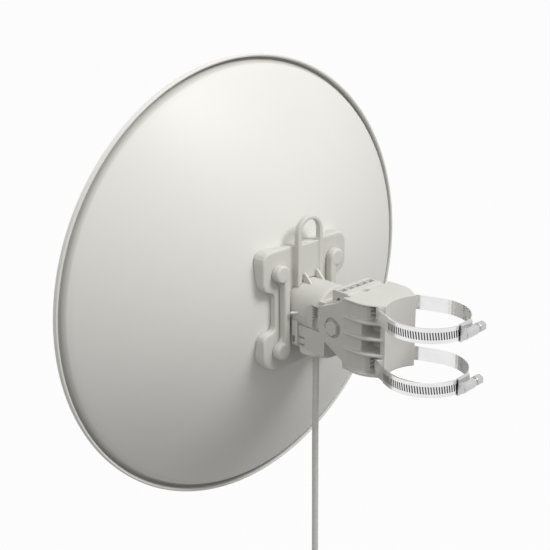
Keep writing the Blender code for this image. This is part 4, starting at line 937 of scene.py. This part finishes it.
def studio_floor(height):
    mesh = bpy.data.meshes.new("floor")
    half = 14.0
    corners = [(-half, -half, height), (half, -half, height), (half, half, height), (-half, half, height)]
    mesh.from_pydata(corners, [], [(0, 1, 2, 3)])
    made = bpy.data.objects.new("floor", mesh)
    bpy.context.scene.collection.objects.link(made)
    look = bpy.data.materials.new("floor_paper")
    look.use_nodes = True
    tree = look.node_tree
    tree.nodes.clear()
    out = tree.nodes.new("ShaderNodeOutputMaterial")
    paper = tree.nodes.new("ShaderNodeBsdfDiffuse")
    paper.inputs["Color"].default_value = (PAPER_GREY, PAPER_GREY, PAPER_GREY, 1.0)
    glow = tree.nodes.new("ShaderNodeEmission")
    glow.inputs["Color"].default_value = (1.0, 1.0, 1.0, 1.0)
    path = tree.nodes.new("ShaderNodeLightPath")
    share = tree.nodes.new("ShaderNodeMath")
    share.operation = "MULTIPLY"
    share.inputs[1].default_value = WHITE_SHARE
    tree.links.new(seen_directly(tree, path), share.inputs[0])
    mix = tree.nodes.new("ShaderNodeMixShader")
    tree.links.new(share.outputs[0], mix.inputs["Fac"])
    tree.links.new(paper.outputs[0], mix.inputs[1])
    tree.links.new(glow.outputs[0], mix.inputs[2])
    tree.links.new(mix.outputs[0], out.inputs["Surface"])
    mesh.materials.append(look)


floor_height = cad_box[0][2] - FLOOR_DROP
studio_floor(floor_height)
print("floor at", round(floor_height, 3))

# %% [markdown]
# ## Sky and lamps
#
# A dim white sky fills the shadows, and three large lamps shape the part: the key stands high on
# the picture's right, a weak fill on its left, and one lights the dish's front. A large lamp gives
# the soft shadow edges of a studio.

# %% Sky and lamps
SKY_STRENGTH = 0.46
SEEN_STRENGTH = 1.0
world = bpy.data.worlds.new("studio")
bpy.context.scene.world = world
world.use_nodes = True
sky = world.node_tree
sky.nodes.clear()
sky_out = sky.nodes.new("ShaderNodeOutputWorld")
soft = sky.nodes.new("ShaderNodeBackground")
soft.inputs["Color"].default_value = (1.0, 1.0, 1.0, 1.0)
soft.inputs["Strength"].default_value = SKY_STRENGTH
bright = sky.nodes.new("ShaderNodeBackground")
bright.inputs["Color"].default_value = (1.0, 1.0, 1.0, 1.0)
bright.inputs["Strength"].default_value = SEEN_STRENGTH
path = sky.nodes.new("ShaderNodeLightPath")
blend = sky.nodes.new("ShaderNodeMixShader")
sky.links.new(seen_directly(sky, path), blend.inputs["Fac"])
sky.links.new(soft.outputs[0], blend.inputs[1])
sky.links.new(bright.outputs[0], blend.inputs[2])
sky.links.new(blend.outputs[0], sky_out.inputs["Surface"])


def soft_lamp(name, place, aim, size, power):
    data = bpy.data.lights.new(name, "AREA")
    data.shape = "DISK"
    data.size = size
    data.energy = power
    made = bpy.data.objects.new(name, data)
    made.location = place
    made.rotation_euler = (Vector(aim) - Vector(place)).to_track_quat("-Z", "Y").to_euler()
    bpy.context.scene.collection.objects.link(made)
    return made


soft_lamp("key", (-0.42, 1.15, 1.68), (0.0, -0.1, 0.0), 0.9, 33.0)
soft_lamp("fill", (1.9, 0.5, 1.2), (0.0, -0.1, 0.0), 1.4, 7.0)
soft_lamp("front", (0.6, -2.2, 1.2), (0.0, -0.2, 0.0), 1.4, 16.0)
bpy.context.scene.view_settings.view_transform = "Standard"
print("light ready")
